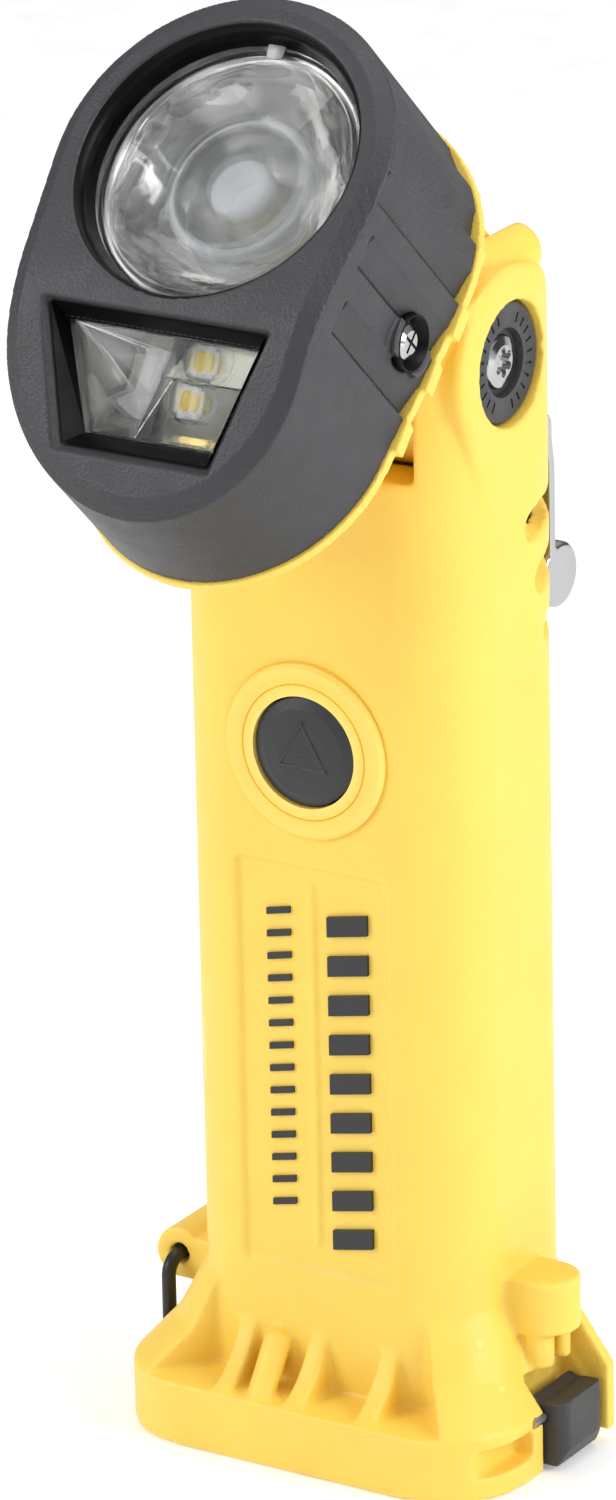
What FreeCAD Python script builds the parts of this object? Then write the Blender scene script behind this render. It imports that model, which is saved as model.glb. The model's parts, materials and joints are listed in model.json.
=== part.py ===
import FreeCAD, Part
import math
import os
import types
import Sketcher
from FreeCAD import Placement, Rotation, Vector

# Firefighter flashlight with a pivoting head, millimetres.
# Frame: origin on the grip's axis at the plane that the foot stands on, +Z up the grip,
# -Y is the front with the switch, +X is the user's left when the beam points away.

SIZES = [
    # grip and foot
    ("grip_half_width", 24.7, "grip, half size across X"),
    ("grip_half_depth", 18.0, "grip, half size along Y"),
    ("grip_corner", 12.0, "grip, corner radius in plan"),
    ("grip_wall", 2.6, "moulded wall of the grip"),
    ("flange_half_width", 32.8, "foot flange, half size across X"),
    ("flange_front", 27.3, "foot flange, reach to the front"),
    ("flange_height", 9.7, "foot flange, height of its band"),
    ("flange_corner", 13.0, "foot flange, corner radius in plan"),
    ("skirt_height", 14.5, "sloped skirt above the flange"),
    ("rib_thickness", 3.2, "gussets on the front of the foot"),
    ("rib_pitch", 12.2, "spacing of the gussets"),
    # fork and pivot
    ("pivot_height", 167.4, "head pivot above the foot"),
    ("fork_half_gap", 17.7, "half the gap between the ears"),
    ("fork_drop", 14.4, "pivot down to the fork's floor"),
    ("ear_drop", 3.5, "pivot down to the centre of the ears' round tops"),
    ("barrel_radius", 16.4, "head barrel between the ears"),
    ("barrel_side_gap", 0.5, "head barrel to each ear"),
    ("cradle_gap", 0.7, "head barrel to the cradle under it"),
    ("bush_radius", 6.0, "pivot bushing, outside"),
    ("trunnion_radius", 4.8, "head trunnion"),
    ("running_gap", 0.06, "radial clearance of a running fit"),
    ("seat_gap", 0.15, "clearance round a piece that drops in"),
    ("disc_radius", 8.95, "pivot disc"),
    ("disc_thickness", 2.1, "pivot disc"),
    ("disc_recess", 1.3, "disc face below the ear's face"),
    # nameplate and switch
    ("plate_half_width", 12.65, "nameplate recess, half width"),
    ("plate_low", 28.5, "nameplate recess, lower edge"),
    ("plate_high", 92.0, "nameplate recess, upper edge"),
    ("plate_depth", 0.8, "nameplate recess, depth"),
    ("switch_height", 110.3, "switch centre above the foot"),
    ("button_radius", 8.25, "rubber switch button"),
    ("ring_radius", 13.3, "ring round the switch"),
    ("ring_stand", 1.0, "ring face in front of the grip"),
    ("button_stand", 1.5, "button crown in front of the grip"),
    ("button_travel", 0.9, "switch travel"),
    # tail door and latch
    ("door_half_width", 26.4, "tail door, half size across X"),
    ("door_half_depth", 16.2, "tail door, half size along Y"),
    ("door_centre", 0.0, "tail door centre, in front of the grip's axis"),
    ("door_thickness", 3.6, "tail door"),
    ("door_rise", 0.0, "door's face above the resting plane"),
    ("door_gap", 0.4, "gap round the tail door"),
    ("hinge_pin_radius", 0.8, "tail door hinge pin"),
    ("latch_half_width", 5.8, "latch lever, half size along Y"),
    ("latch_centre", 2.2, "latch centre, in front of the grip's axis"),
    ("latch_reach", 36.0, "latch lever's outer face from the axis"),
    ("latch_axis_out", 32.3, "latch pin from the grip's axis"),
    ("latch_axis_up", 8.4, "latch pin above the resting plane"),
    # head, in the head's own frame
    ("head_tilt", 44.0, "beam above the horizontal at rest, degrees"),
    ("face_reach", 53.3, "pivot to the bezel's face"),
    ("bezel_back", 21.8, "pivot to the bezel's rear edge"),
    ("bezel_radius", 26.4, "bezel round the spot lens"),
    ("bezel_low_radius", 24.2, "bezel round its lower end"),
    ("bezel_drop", 26.2, "spot axis to the centre of the lower end"),
    ("bezel_wall", 2.4, "bezel wall"),
    ("bevel_inset", 2.2, "bevel round the bezel's face"),
    ("bevel_depth", 1.4, "bevel round the bezel's face"),
    ("bend_drop", 23.0, "spot axis to the bend in the face"),
    ("bend_angle", 23.0, "lower face leans back, degrees"),
    ("bend_radius", 30.0, "blend between the two faces"),
    ("front_wall", 6.0, "thickness of the bezel's front"),
    ("lip_stand", 0.5, "yellow lip outside the bezel"),
    ("lip_thickness", 1.6, "yellow lip behind the bezel"),
    ("spot_hole_radius", 21.9, "spot opening at the face"),
    ("lens_radius", 20.1, "spot lens"),
    ("lens_thickness", 2.0, "spot lens"),
    ("lens_recess", 4.0, "spot lens below the face"),
    ("reflector_wall", 1.0, "spot reflector"),
    ("optic_radius", 9.9, "moulded optic in the reflector"),
    ("flood_top_half", 19.05, "flood opening, half its upper edge"),
    ("flood_low_half", 12.8, "flood opening, half its lower edge"),
    ("flood_top", 0.9, "flood opening below the bend"),
    ("flood_length", 21.5, "flood opening along the lower face"),
    ("flood_inset", 3.0, "flood lens inside the opening"),
    ("flood_recess", 4.0, "flood lens below the face"),
    ("flood_lens_thickness", 1.6, "flood lens"),
    ("flood_depth", 10.8, "face to the flood LEDs' board"),
    ("led_size", 4.6, "flood LED package"),
    ("screw_side_drop", 12.0, "bezel screw below the spot axis"),
    ("screw_side_reach", 29.0, "bezel screw in front of the pivot"),
    ("screw_boss", 0.8, "boss of the bezel screw outside the flank"),
    ("screw_sink", 1.8, "bezel screw's seat below its boss"),
    ("detent_reach", 11.0, "detent ball from the pivot's axis"),
    # coat clip
    ("clip_half_width", 17.0, "coat clip"),
    ("clip_thickness", 1.5, "coat clip"),
    ("clip_axis_up", 150.0, "coat clip hinge above the foot"),
    ("clip_axis_back", 21.6, "coat clip hinge behind the grip's axis"),
    ("clip_stand", 23.0, "coat clip arm behind the grip's axis"),
    ("clip_length", 24.0, "clip hinge down to the rolled end"),
    ("clip_roll_radius", 5.0, "rolled end of the clip"),
    # D-ring
    ("ring_wire_radius", 1.1, "D-ring wire"),
    ("ring_half_length", 9.0, "D-ring, half size along Y"),
    ("ring_drop", 16.0, "D-ring, height"),
    ("lug_out", 32.2, "D-ring lug from the grip's axis"),
    ("lug_up", 20.0, "D-ring lug above the foot"),
    # battery
    ("cell_radius", 9.2, "rechargeable cell"),
    ("cell_length", 65.0, "rechargeable cell"),
    ("cell_low", 13.5, "cells above the foot"),
]

doc = FreeCAD.newDocument("Flashlight")
sheet = doc.addObject("Spreadsheet::Sheet", "Sizes")
for row, (alias, value, note) in enumerate(SIZES, 1):
    sheet.set("A%d" % row, note)
    sheet.set("B%d" % row, str(value))
    sheet.setAlias("B%d" % row, alias)
doc.recompute()
S = types.SimpleNamespace(**{alias: float(sheet.get(alias)) for alias, value, note in SIZES})

X, Y, Z = Vector(1, 0, 0), Vector(0, 1, 0), Vector(0, 0, 1)
ORIGIN = Vector(0, 0, 0)
GRIP = Placement()
PIVOT = Vector(0, 0, S.pivot_height)
HEAD = Placement(PIVOT, Rotation(X, 90.0 - S.head_tilt))
FLOOD = Placement(Vector(0, -S.bend_drop, S.face_reach), Rotation(X, S.bend_angle))
subparts = []


# ---------------------------------------------------------------- helpers

def keep(obj, label):
    """Names an object and lists it as one of the flashlight's sub-parts."""
    obj.Label = label
    subparts.append(obj)
    return obj


def feature(label, shape, frame=GRIP):
    """A sub-part whose shape is made with Part's functions, placed in its frame."""
    obj = doc.addObject("Part::Feature", label)
    obj.Shape = shape.removeSplitter() if len(shape.Solids) == 1 else shape
    obj.Placement = frame
    return keep(obj, label)


def turned_to(axis):
    return Rotation(Z, axis)


def cylinder(label, radius, height, place):
    """A Part cylinder whose sizes are expressions on the sheet."""
    obj = doc.addObject("Part::Cylinder", label)
    obj.setExpression("Radius", radius)
    obj.setExpression("Height", height)
    obj.Placement = place
    return obj


def ring(label, outer, inner, height, place):
    """A plain ring: one bound cylinder cut from another."""
    body = cylinder(label + "_blank", outer, height, place)
    bore = cylinder(label + "_bore", inner, height, place)
    cut = doc.addObject("Part::Cut", label)
    cut.Base = body
    cut.Tool = bore
    return keep(cut, label)


def origin_plane(body, role):
    return [item for item in body.Origin.OriginFeatures if item.Role == role][0]


def circle_sketch(body, name, radii):
    """Concentric circles on the body's XY plane, each radius an expression."""
    sketch = body.newObject("Sketcher::SketchObject", name)
    sketch.AttachmentSupport = [(origin_plane(body, "XY_Plane"), "")]
    sketch.MapMode = "FlatFace"
    for index, radius in enumerate(radii):
        sketch.addGeometry(Part.Circle(ORIGIN, Z, 10.0 / (index + 1)))
        sketch.addConstraint(Sketcher.Constraint("Coincident", index, 3, -1, 1))
        number = sketch.addConstraint(Sketcher.Constraint("Radius", index, 10.0 / (index + 1)))
        sketch.setExpression("Constraints[%d]" % number, radius)
    return sketch


def disc_body(label, radii, thickness, place):
    """A PartDesign disc, or washer when a second radius is given."""
    body = doc.addObject("PartDesign::Body", label)
    sketch = circle_sketch(body, label + "_outline", radii)
    pad = body.newObject("PartDesign::Pad", label + "_pad")
    pad.Profile = sketch
    pad.setExpression("Length", thickness)
    body.Placement = place
    return keep(body, label)


def box_sketch(body, name, width, depth):
    """A centred rectangle on the body's XY plane with its two sizes bound."""
    sketch = body.newObject("Sketcher::SketchObject", name)
    sketch.AttachmentSupport = [(origin_plane(body, "XY_Plane"), "")]
    sketch.MapMode = "FlatFace"
    corners = [Vector(-5, -5, 0), Vector(5, -5, 0), Vector(5, 5, 0), Vector(-5, 5, 0)]
    for index in range(4):
        sketch.addGeometry(Part.LineSegment(corners[index], corners[(index + 1) % 4]))
    for index in range(4):
        sketch.addConstraint(Sketcher.Constraint("Coincident", index, 2, (index + 1) % 4, 1))
    for index, kind in enumerate(("Horizontal", "Vertical", "Horizontal", "Vertical")):
        sketch.addConstraint(Sketcher.Constraint(kind, index))
    sketch.addConstraint(Sketcher.Constraint("Symmetric", 0, 1, 1, 2, -1, 1))
    wide = sketch.addConstraint(Sketcher.Constraint("DistanceX", 0, 1, 0, 2, 10.0))
    sketch.setExpression("Constraints[%d]" % wide, width)
    deep = sketch.addConstraint(Sketcher.Constraint("DistanceY", 1, 1, 1, 2, 10.0))
    sketch.setExpression("Constraints[%d]" % deep, depth)
    return sketch


def plate_body(label, width, depth, thickness, place):
    """A PartDesign rectangular plate with bound sizes."""
    body = doc.addObject("PartDesign::Body", label)
    sketch = box_sketch(body, label + "_outline", width, depth)
    pad = body.newObject("PartDesign::Pad", label + "_pad")
    pad.Profile = sketch
    pad.setExpression("Length", thickness)
    body.Placement = place
    return keep(body, label)


def rounded_outline(half_x, half_y, radius, z=0.0, centre_y=0.0):
    """Closed wire of a rectangle with round corners, centred on x = 0."""
    edges = []
    inner_x = half_x - radius
    inner_y = half_y - radius
    slant = radius * math.sqrt(0.5)
    for sx, sy in ((1, -1), (1, 1), (-1, 1), (-1, -1)):
        centre = Vector(sx * inner_x, centre_y + sy * inner_y, z)
        side = centre + Vector(sx * radius, 0, 0)
        end = centre + Vector(0, sy * radius, 0)
        middle = centre + Vector(sx * slant, sy * slant, 0)
        first, last = (end, side) if sx * sy < 0 else (side, end)
        edges.append((first, middle, last))
    wire = []
    for index, (first, middle, last) in enumerate(edges):
        wire.append(Part.Arc(first, middle, last).toShape())
        wire.append(Part.LineSegment(last, edges[(index + 1) % 4][0]).toShape())
    return Part.Wire(wire)


def rounded_prism(half_x, half_y, radius, low, high, centre_y=0.0):
    outline = rounded_outline(half_x, half_y, radius, low, centre_y)
    return Part.Face(outline).extrude(Vector(0, 0, high - low))


def box(low, high):
    return Part.makeBox(high[0] - low[0], high[1] - low[1], high[2] - low[2], Vector(*low))


def rod(radius, start, end):
    run = Vector(*end) - Vector(*start)
    return Part.makeCylinder(radius, run.Length, Vector(*start), run)


def ball(radius, centre):
    return Part.makeSphere(radius, Vector(*centre))


def plan_prism(points, low, high):
    """Polygon in plan, extruded between two heights."""
    wire = Part.makePolygon([Vector(x, y, low) for x, y in points + points[:1]])
    return Part.Face(wire).extrude(Vector(0, 0, high - low))


def side_prism(points, low, high):
    """Polygon given as (y, z), extruded along X."""
    wire = Part.makePolygon([Vector(low, y, z) for y, z in points + points[:1]])
    return Part.Face(wire).extrude(Vector(high - low, 0, 0))


def front_prism(points, low, high):
    """Polygon given as (x, z), extruded along Y."""
    wire = Part.makePolygon([Vector(x, low, z) for x, z in points + points[:1]])
    return Part.Face(wire).extrude(Vector(0, high - low, 0))


def turned(points, centre=ORIGIN, axis=Z):
    """Solid of revolution from (radius, height) points."""
    wire = Part.makePolygon([Vector(r, 0, z) for r, z in points + points[:1]])
    solid = Part.Face(wire).revolve(ORIGIN, Z, 360)
    solid.Placement = Placement(centre, turned_to(axis))
    return solid


def fused(shapes):
    return shapes[0].multiFuse(shapes[1:])


def cut_all(shape, tools):
    return shape.cut(Part.makeCompound(tools)) if tools else shape


def mirrored_pair(shape):
    return [shape, shape.mirror(ORIGIN, X)]


# ---------------------------------------------------------------- handle housing

def grip_column():
    """The grip with the fork's two ears, before anything is hollowed out."""
    middle = S.pivot_height - S.ear_drop
    column = rounded_prism(S.grip_half_width, S.grip_half_depth, S.grip_corner,
                           0, middle + S.grip_half_depth)
    reach = S.grip_half_width + 1
    side = box((-reach, -S.grip_half_depth, 0), (reach, S.grip_half_depth, middle))
    crown = rod(S.grip_half_depth, (-reach, 0, middle), (reach, 0, middle))
    return column.common(side.fuse(crown))


def ear_pad():
    """Raised pad round the pivot disc with its tail down the back corner."""
    inner = S.fork_half_gap + 1.0
    outer = S.grip_half_width + 0.1
    radius = S.grip_half_depth - S.ear_drop
    disc = rod(radius, (inner, 0, S.pivot_height), (outer, 0, S.pivot_height))
    drop = S.pivot_height
    tail = side_prism([(-radius + 0.6, drop - 4), (-3.0, drop - 36), (4.0, drop - 42),
                       (12.0, drop - 42), (radius - 1.0, drop)], inner, outer)
    pad = disc.fuse(tail).removeSplitter()
    rim = [edge for edge in pad.Edges if edge.BoundBox.XMin > outer - 0.01]
    pad = pad.makeFillet(1.6, rim)
    high = drop + S.grip_half_depth + 6
    round_back = rounded_prism(outer, S.grip_half_depth + 0.1, S.grip_corner, 0, high)
    front_half = box((0, -S.grip_half_depth - 1, 0), (outer + 1, 0, high))
    return pad.common(round_back.fuse(front_half))


def ear_crest():
    """Rounded crest that runs front to back over the ear and ends in a ball."""
    radius = 4.7
    x, high = S.fork_half_gap - 0.2, S.pivot_height + 12.3
    ridge = rod(radius, (x, 1.0, high), (x, 11.4, high))
    outside = box((S.fork_half_gap, -20, high - 10), (S.grip_half_width, 20, high + 10))
    ends = [ball(radius, (x, 1.0, high)), ball(radius, (x, 11.4, high))]
    return [part.common(outside) for part in [ridge] + ends]


def finger_grooves():
    """Three scoops round the back corner below the ear, each shorter than the one above."""
    scoops = []
    for step in range(3):
        high = S.pivot_height - 22.2 - 8.6 * step
        back = Vector(S.grip_half_width - 6.2, 18.2, high + 0.9)
        front = Vector(S.grip_half_width + 0.7, 5.0 + 2.6 * step, high - 3.6)
        scoops.append(Part.makeCylinder(2.3, (front - back).Length, back, front - back))
        scoops.append(Part.makeSphere(2.3, front))
    return scoops


def flange_outline(z):
    depth = (S.flange_front + S.grip_half_depth) / 2
    centre = (S.grip_half_depth - S.flange_front) / 2
    return rounded_outline(S.flange_half_width, depth, S.flange_corner, z, centre)


def foot_skirt():
    """Flange band and the sloped shoulders that join it to the grip."""
    band = Part.Face(flange_outline(0)).extrude(Vector(0, 0, S.flange_height))
    top = S.flange_height + S.skirt_height
    middle = S.flange_height + 0.4 * S.skirt_height
    front = S.grip_half_depth + 0.34 * (S.flange_front - S.grip_half_depth)
    sections = [
        flange_outline(S.flange_height),
        rounded_outline((S.flange_half_width + S.grip_half_width) / 2 - 0.4,
                        (front + S.grip_half_depth) / 2,
                        S.grip_corner, middle, (S.grip_half_depth - front) / 2),
        rounded_outline(S.grip_half_width, S.grip_half_depth, S.grip_corner, top),
    ]
    skirt = Part.makeLoft(sections, True, True)
    low = S.flange_height
    pocket = plan_prism([(-18.3, -17.0), (18.3, -17.0), (27.6, -28.5), (-27.6, -28.5)],
                        low, top + 1)
    return band, skirt.cut(pocket)


def gusset(x, thickness, top, reach):
    """One front rib with a hollow curved edge."""
    low = S.flange_height - 0.5
    back = -S.grip_half_depth + 1.0
    start = Vector(x - thickness / 2, back, top)
    middle = Vector(start.x, -S.grip_half_depth - 0.27 * (reach - S.grip_half_depth),
                    0.62 * low + 0.38 * top)
    end = Vector(start.x, -reach, S.flange_height)
    corner = Vector(start.x, back, low)
    toe = Vector(start.x, -reach, low)
    edges = [Part.Arc(start, middle, end).toShape(), Part.makeLine(end, toe),
             Part.makeLine(toe, corner), Part.makeLine(corner, start)]
    return Part.Face(Part.Wire(edges)).extrude(Vector(thickness, 0, 0))


def foot_ribs():
    top = S.flange_height + S.skirt_height
    reach = S.flange_front - 0.5
    ribs = [gusset(x, S.rib_thickness, top, reach) for x in (-S.rib_pitch, 0.0, S.rib_pitch)]
    nub_x = -S.rib_pitch * 0.54
    nub_low = (nub_x, -S.flange_front + 2.6, S.flange_height - 1)
    nub_high = (nub_x, -S.grip_half_depth - 1.2, S.flange_height + 6.6)
    ribs.append(rod(2.1, nub_low, nub_high))
    ribs.append(ball(2.1, nub_high))
    return ribs


def ring_lug():
    """Eyelet on the left of the foot that carries the D-ring's bar."""
    outer = S.ring_wire_radius + 3.0
    half = S.ring_half_length - 3.0
    tube = rod(outer, (-S.lug_out, -half, S.lug_up), (-S.lug_out, half, S.lug_up))
    web = box((-S.lug_out, -half, S.lug_up - outer), (-S.grip_half_width + 1, half, S.lug_up + outer - 1.2))
    return [tube, web]


def latch_guard():
    """Round boss, its two ribs and the fin that shield the latch."""
    centre_y = -S.latch_centre + 0.8
    boss_x = S.grip_half_width + 4.6
    boss = rod(5.0, (boss_x, centre_y, 20.0), (boss_x, centre_y, 28.4))
    bridge = box((S.grip_half_width - 1, centre_y - 5.0, 20.0), (boss_x, centre_y + 5.0, 28.4))
    rib = rod(2.3, (boss_x, centre_y - 2.4, 14.4), (boss_x, centre_y - 2.4, 20.5))
    slim = rod(1.3, (boss_x + 1.2, centre_y + 2.2, 14.4), (boss_x + 1.2, centre_y + 2.2, 20.5))
    fin_y = -S.latch_centre + S.latch_half_width + 0.8
    reach = S.latch_reach + 0.2
    fin = front_prism([(S.grip_half_width - 1, 2.0), (reach, 2.0), (reach, 12.6),
                       (S.grip_half_width + 4, 23.0), (S.grip_half_width - 1, 23.0)], fin_y, fin_y + 2.0)
    return [boss, bridge, rib, slim, fin]


def switch_cuts():
    front = -S.grip_half_depth
    centre = Vector(0, front, S.switch_height)
    seat = S.ring_radius + S.seat_gap
    return [
        Part.makeCylinder(seat, 1.4, centre + Vector(0, -1, 0), Y),
        Part.makeCylinder(S.button_radius + 0.3, S.grip_wall + 3, centre + Vector(0, -1, 0), Y),
    ]


def pivot_cuts():
    """Bush bores and disc recesses in the two ears."""
    face = S.grip_half_width - S.disc_recess
    back = face - S.disc_thickness - 0.1
    bore = rod(S.bush_radius + S.running_gap, (S.fork_half_gap - 1, 0, S.pivot_height),
               (back + 1, 0, S.pivot_height))
    recess = rod(S.disc_radius + 0.3, (back, 0, S.pivot_height),
                 (S.grip_half_width + 3, 0, S.pivot_height))
    return mirrored_pair(bore) + mirrored_pair(recess)


def detent_place():
    """Middle of the detent ball in the left ear."""
    return Vector(-(S.fork_half_gap - S.barrel_side_gap) - 1.25, 0, S.pivot_height - S.detent_reach)


def detent_cut():
    centre = detent_place()
    return rod(1.35, (centre.x + 2, centre.y, centre.z), (centre.x - 4.4, centre.y, centre.z))


def fork_cut():
    """Gap between the ears with the hollow cradle under the head's barrel."""
    reach = S.grip_half_depth + 6
    floor = S.pivot_height - S.fork_drop
    gap = box((-S.fork_half_gap, -reach, floor), (S.fork_half_gap, reach, S.pivot_height + 40))
    cradle = rod(S.barrel_radius + S.cradle_gap, (-S.fork_half_gap, 0, S.pivot_height),
                 (S.fork_half_gap, 0, S.pivot_height))
    return [gap, cradle]


def grip_hollow():
    wall = S.grip_wall
    roof = S.pivot_height - S.barrel_radius - S.cradle_gap - 4.0
    return rounded_prism(S.grip_half_width - wall, S.grip_half_depth - wall,
                         S.grip_corner - wall, -1, roof)


def door_recess():
    gap = S.door_gap
    top = S.door_rise + S.door_thickness + 0.2
    return rounded_prism(S.door_half_width + gap, S.door_half_depth + gap, 6.0 + gap, -1, top,
                         -S.door_centre)


def hinge_line():
    """Door hinge: x and z of its axis."""
    return -S.door_half_width - 1.0, S.door_rise + S.door_thickness / 2


def hinge_cuts():
    x, z = hinge_line()
    radius = S.door_thickness / 2 + 0.4
    centre = -S.door_centre
    knuckle = rod(radius, (x, centre - 6.4, z), (x, centre + 6.4, z))
    below = box((x - radius, centre - 6.4, -1), (x + radius, centre + 6.4, z))
    reach = S.door_half_depth + S.door_gap
    relief = box((x - radius, centre - reach, -1), (x + 4.0, centre + reach, S.door_rise + 1.9))
    pin = rod(S.hinge_pin_radius + S.running_gap, (x, centre - 10, z), (x, centre + 10, z))
    return [knuckle, below, relief, pin]


def latch_cuts():
    low = -S.latch_centre - S.latch_half_width - 0.5
    high = -S.latch_centre + S.latch_half_width + 0.5
    inside = S.latch_axis_out - 4.6
    pocket = box((inside, low, -1), (S.latch_reach + 4, high, S.latch_axis_up + 5.6))
    nose = box((S.door_half_width - 1, -S.latch_centre - 3.4, -1), (inside + 1, -S.latch_centre + 3.4, 4.3))
    pin = rod(0.8 + S.running_gap, (S.latch_axis_out, low - 3, S.latch_axis_up),
              (S.latch_axis_out, high + 2.4, S.latch_axis_up))
    return [pocket, nose, pin]


def nameplate_cut():
    """Shallow recess on the front that leaves one thin upright line."""
    recess = box((-S.plate_half_width, -S.grip_half_depth - 2, S.plate_low),
                 (S.plate_half_width, -S.grip_half_depth + S.plate_depth, S.plate_high))
    line = box((-0.6, -S.grip_half_depth + 0.3, S.plate_low + 4),
               (0.2, -S.grip_half_depth + 2, S.plate_high - 3))
    return recess.cut(line)


def handle_housing():
    band, skirt = foot_skirt()
    tower = fused([grip_column(), skirt, band] + foot_ribs() + ring_lug() + latch_guard())
    sides = [ear_pad()] + ear_crest()
    tower = fused([tower] + sides + [shape.mirror(ORIGIN, X) for shape in sides])
    bar_hole = rod(S.ring_wire_radius + 0.5, (-S.lug_out, -20, S.lug_up), (-S.lug_out, 20, S.lug_up))
    ring_pocket = box((-S.flange_half_width - 1, -S.ring_half_length - 1.8, -1),
                      (-S.lug_out + 2.8, S.ring_half_length + 1.8, S.lug_up - 4.0))
    slot = box((29.2, -23.6, 3.4), (40.0, -S.latch_centre - S.latch_half_width - 3.4, 7.6))
    clip_holes = [rod(1.05, (x, 10, z), (x, 30, z)) for x in (-6.0, 6.0) for z in (139.0,)]
    contacts = [rod(2.6, (x, 10, 34.0), (x, 30, 34.0)) for x in (-8.0, 8.0)]
    cuts = [grip_hollow(), door_recess(), bar_hole, ring_pocket, slot, nameplate_cut()]
    cuts += switch_cuts() + pivot_cuts() + fork_cut() + hinge_cuts() + latch_cuts() + [detent_cut()]
    scoops = [half for scoop in finger_grooves() for half in mirrored_pair(scoop)]
    return cut_all(tower, cuts + clip_holes + contacts + scoops)


# ---------------------------------------------------------------- nameplate, switch

def nameplate_bars():
    """Slanted bars that stand where lettering would be; they spell nothing."""
    face = -S.grip_half_depth + S.plate_depth
    bars = []
    count = 9
    pitch = (S.plate_high - S.plate_low - 8) / count
    for step in range(count):
        low = S.plate_low + 4 + step * pitch
        shape = front_prism([(2.6, low), (9.4, low + 1.4), (9.4, low + 1.4 + pitch * 0.5),
                             (2.6, low + pitch * 0.5)], face - 0.6, face)
        bars.append(shape)
    return Part.makeCompound(bars)


def nameplate_ticks():
    face = -S.grip_half_depth + S.plate_depth
    bars = []
    count = 14
    pitch = (S.plate_high - S.plate_low - 14) / count
    for step in range(count):
        low = S.plate_low + 9 + step * pitch
        shape = front_prism([(-7.8, low), (-3.8, low + 0.9), (-3.8, low + 1.9), (-7.8, low + 1.0)],
                            face - 0.4, face)
        bars.append(shape)
    return Part.makeCompound(bars)


def switch_ring():
    """Ring with a rounded rim and one fine groove."""
    back = -0.4
    inner = S.button_radius + 0.3
    stand = S.ring_stand
    rim = S.ring_radius
    profile = [(inner, back), (rim, back), (rim, stand - 0.5), (rim - 0.5, stand), (inner + 1.9, stand),
               (inner + 1.75, stand - 0.25), (inner + 1.6, stand), (inner, stand)]
    return turned(profile, Vector(0, -S.grip_half_depth, S.switch_height), -Y)


def button_place():
    return Vector(0, -S.grip_half_depth, S.switch_height)


def switch_button():
    """Domed rubber cover with its clamped skirt inside the wall."""
    radius = S.button_radius
    crown = S.button_stand
    skirt = -S.grip_wall - 0.2 - S.button_travel
    profile = [(0, crown), (radius * 0.5, crown - 0.12), (radius * 0.8, crown - 0.4),
               (radius, crown - 1.0), (radius, skirt), (radius + 0.9, skirt),
               (radius + 0.9, skirt - 1.0), (2.4, skirt - 1.0), (2.4, skirt - 2.0), (0, skirt - 2.0)]
    button = turned(profile, button_place(), -Y)
    emblem = []
    count = 3
    for step in range(count):
        angle = math.pi * (0.5 + 2.0 * step / count)
        following = math.pi * (0.5 + 2.0 * (step + 1) / count)
        start = (4.6 * math.cos(angle), 4.6 * math.sin(angle))
        end = (4.6 * math.cos(following), 4.6 * math.sin(following))
        front = -S.grip_half_depth - crown - 0.1
        bar = rod(0.35, (start[0], front + 0.35, S.switch_height + start[1]),
                  (end[0], front + 0.35, S.switch_height + end[1]))
        emblem.append(bar)
        emblem.append(ball(0.35, (start[0], front + 0.35, S.switch_height + start[1])))
    return fused([button] + emblem)


# ---------------------------------------------------------------- head shells

def bezel_outline(offset, z):
    """Two arcs and two straight flanks round the spot and flood openings."""
    top = S.bezel_radius + offset
    low = S.bezel_low_radius + offset
    lean = math.asin((top - low) / S.bezel_drop)
    side = Vector(math.cos(lean), -math.sin(lean), 0)
    low_centre = Vector(0, -S.bezel_drop, z)
    top_centre = Vector(0, 0, z)
    mirror = Vector(-side.x, side.y, 0)
    edges = [
        Part.Arc(top_centre + side * top, top_centre + Y * top, top_centre + mirror * top).toShape(),
        Part.makeLine(top_centre + mirror * top, low_centre + mirror * low),
        Part.Arc(low_centre + mirror * low, low_centre - Y * low, low_centre + side * low).toShape(),
        Part.makeLine(low_centre + side * low, top_centre + side * top),
    ]
    return Part.Wire(edges)


def flank(height, offset=0.0):
    """Half width of the bezel's outline at a height, on its straight flank."""
    lean = math.asin((S.bezel_radius - S.bezel_low_radius) / S.bezel_drop)
    return (S.bezel_radius + offset) / math.cos(lean) + height * math.tan(lean)


def bezel_prism(offset, low, high):
    return Part.Face(bezel_outline(offset, low)).extrude(Vector(0, 0, high - low))


def front_profile(inset):
    """Side view of the head's front: flat, a blend, then the lower face that leans back."""
    reach = S.face_reach - inset
    lean = math.radians(S.bend_angle)
    bend = -S.bend_drop - inset * math.tan(lean / 2)
    run = S.bend_radius * math.tan(lean / 2)
    flat_end = Vector(-60, bend + run, reach)
    slope = Vector(0, -math.cos(lean), -math.sin(lean))
    slope_start = Vector(-60, bend, reach) + slope * run
    centre = flat_end - Z * S.bend_radius
    middle = centre + Vector(0, -math.sin(lean / 2), math.cos(lean / 2)) * S.bend_radius
    slope_end = Vector(-60, bend, reach) + slope * 60
    start = Vector(-60, 60, reach)
    edges = [
        Part.makeLine(start, flat_end),
        Part.Arc(flat_end, middle, slope_start).toShape(),
        Part.makeLine(slope_start, slope_end),
        Part.makeLine(slope_end, Vector(-60, slope_end.y, -60)),
        Part.makeLine(Vector(-60, slope_end.y, -60), Vector(-60, 60, -60)),
        Part.makeLine(Vector(-60, 60, -60), start),
    ]
    return Part.Face(Part.Wire(edges)).extrude(Vector(120, 0, 0))


def flood_outline(inset, z, grow=0.0):
    """Wire of the flood opening in its own frame, y along the face and z out of it."""
    top = -S.flood_top - inset
    low = -S.flood_top - S.flood_length + inset
    top_half = S.flood_top_half - inset + grow
    low_half = S.flood_low_half - inset * 0.8 + grow
    points = [Vector(-low_half, low - grow, z), Vector(low_half, low - grow, z),
              Vector(top_half, top + grow, z), Vector(-top_half, top + grow, z)]
    return Part.makePolygon(points + points[:1])


def flood_solid(shape):
    shape.Placement = FLOOD.multiply(shape.Placement)
    return shape


def flood_prism(inset, low, high, grow=0.0):
    face = Part.Face(flood_outline(inset, low, grow))
    return flood_solid(face.extrude(Vector(0, 0, high - low)))


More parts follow.
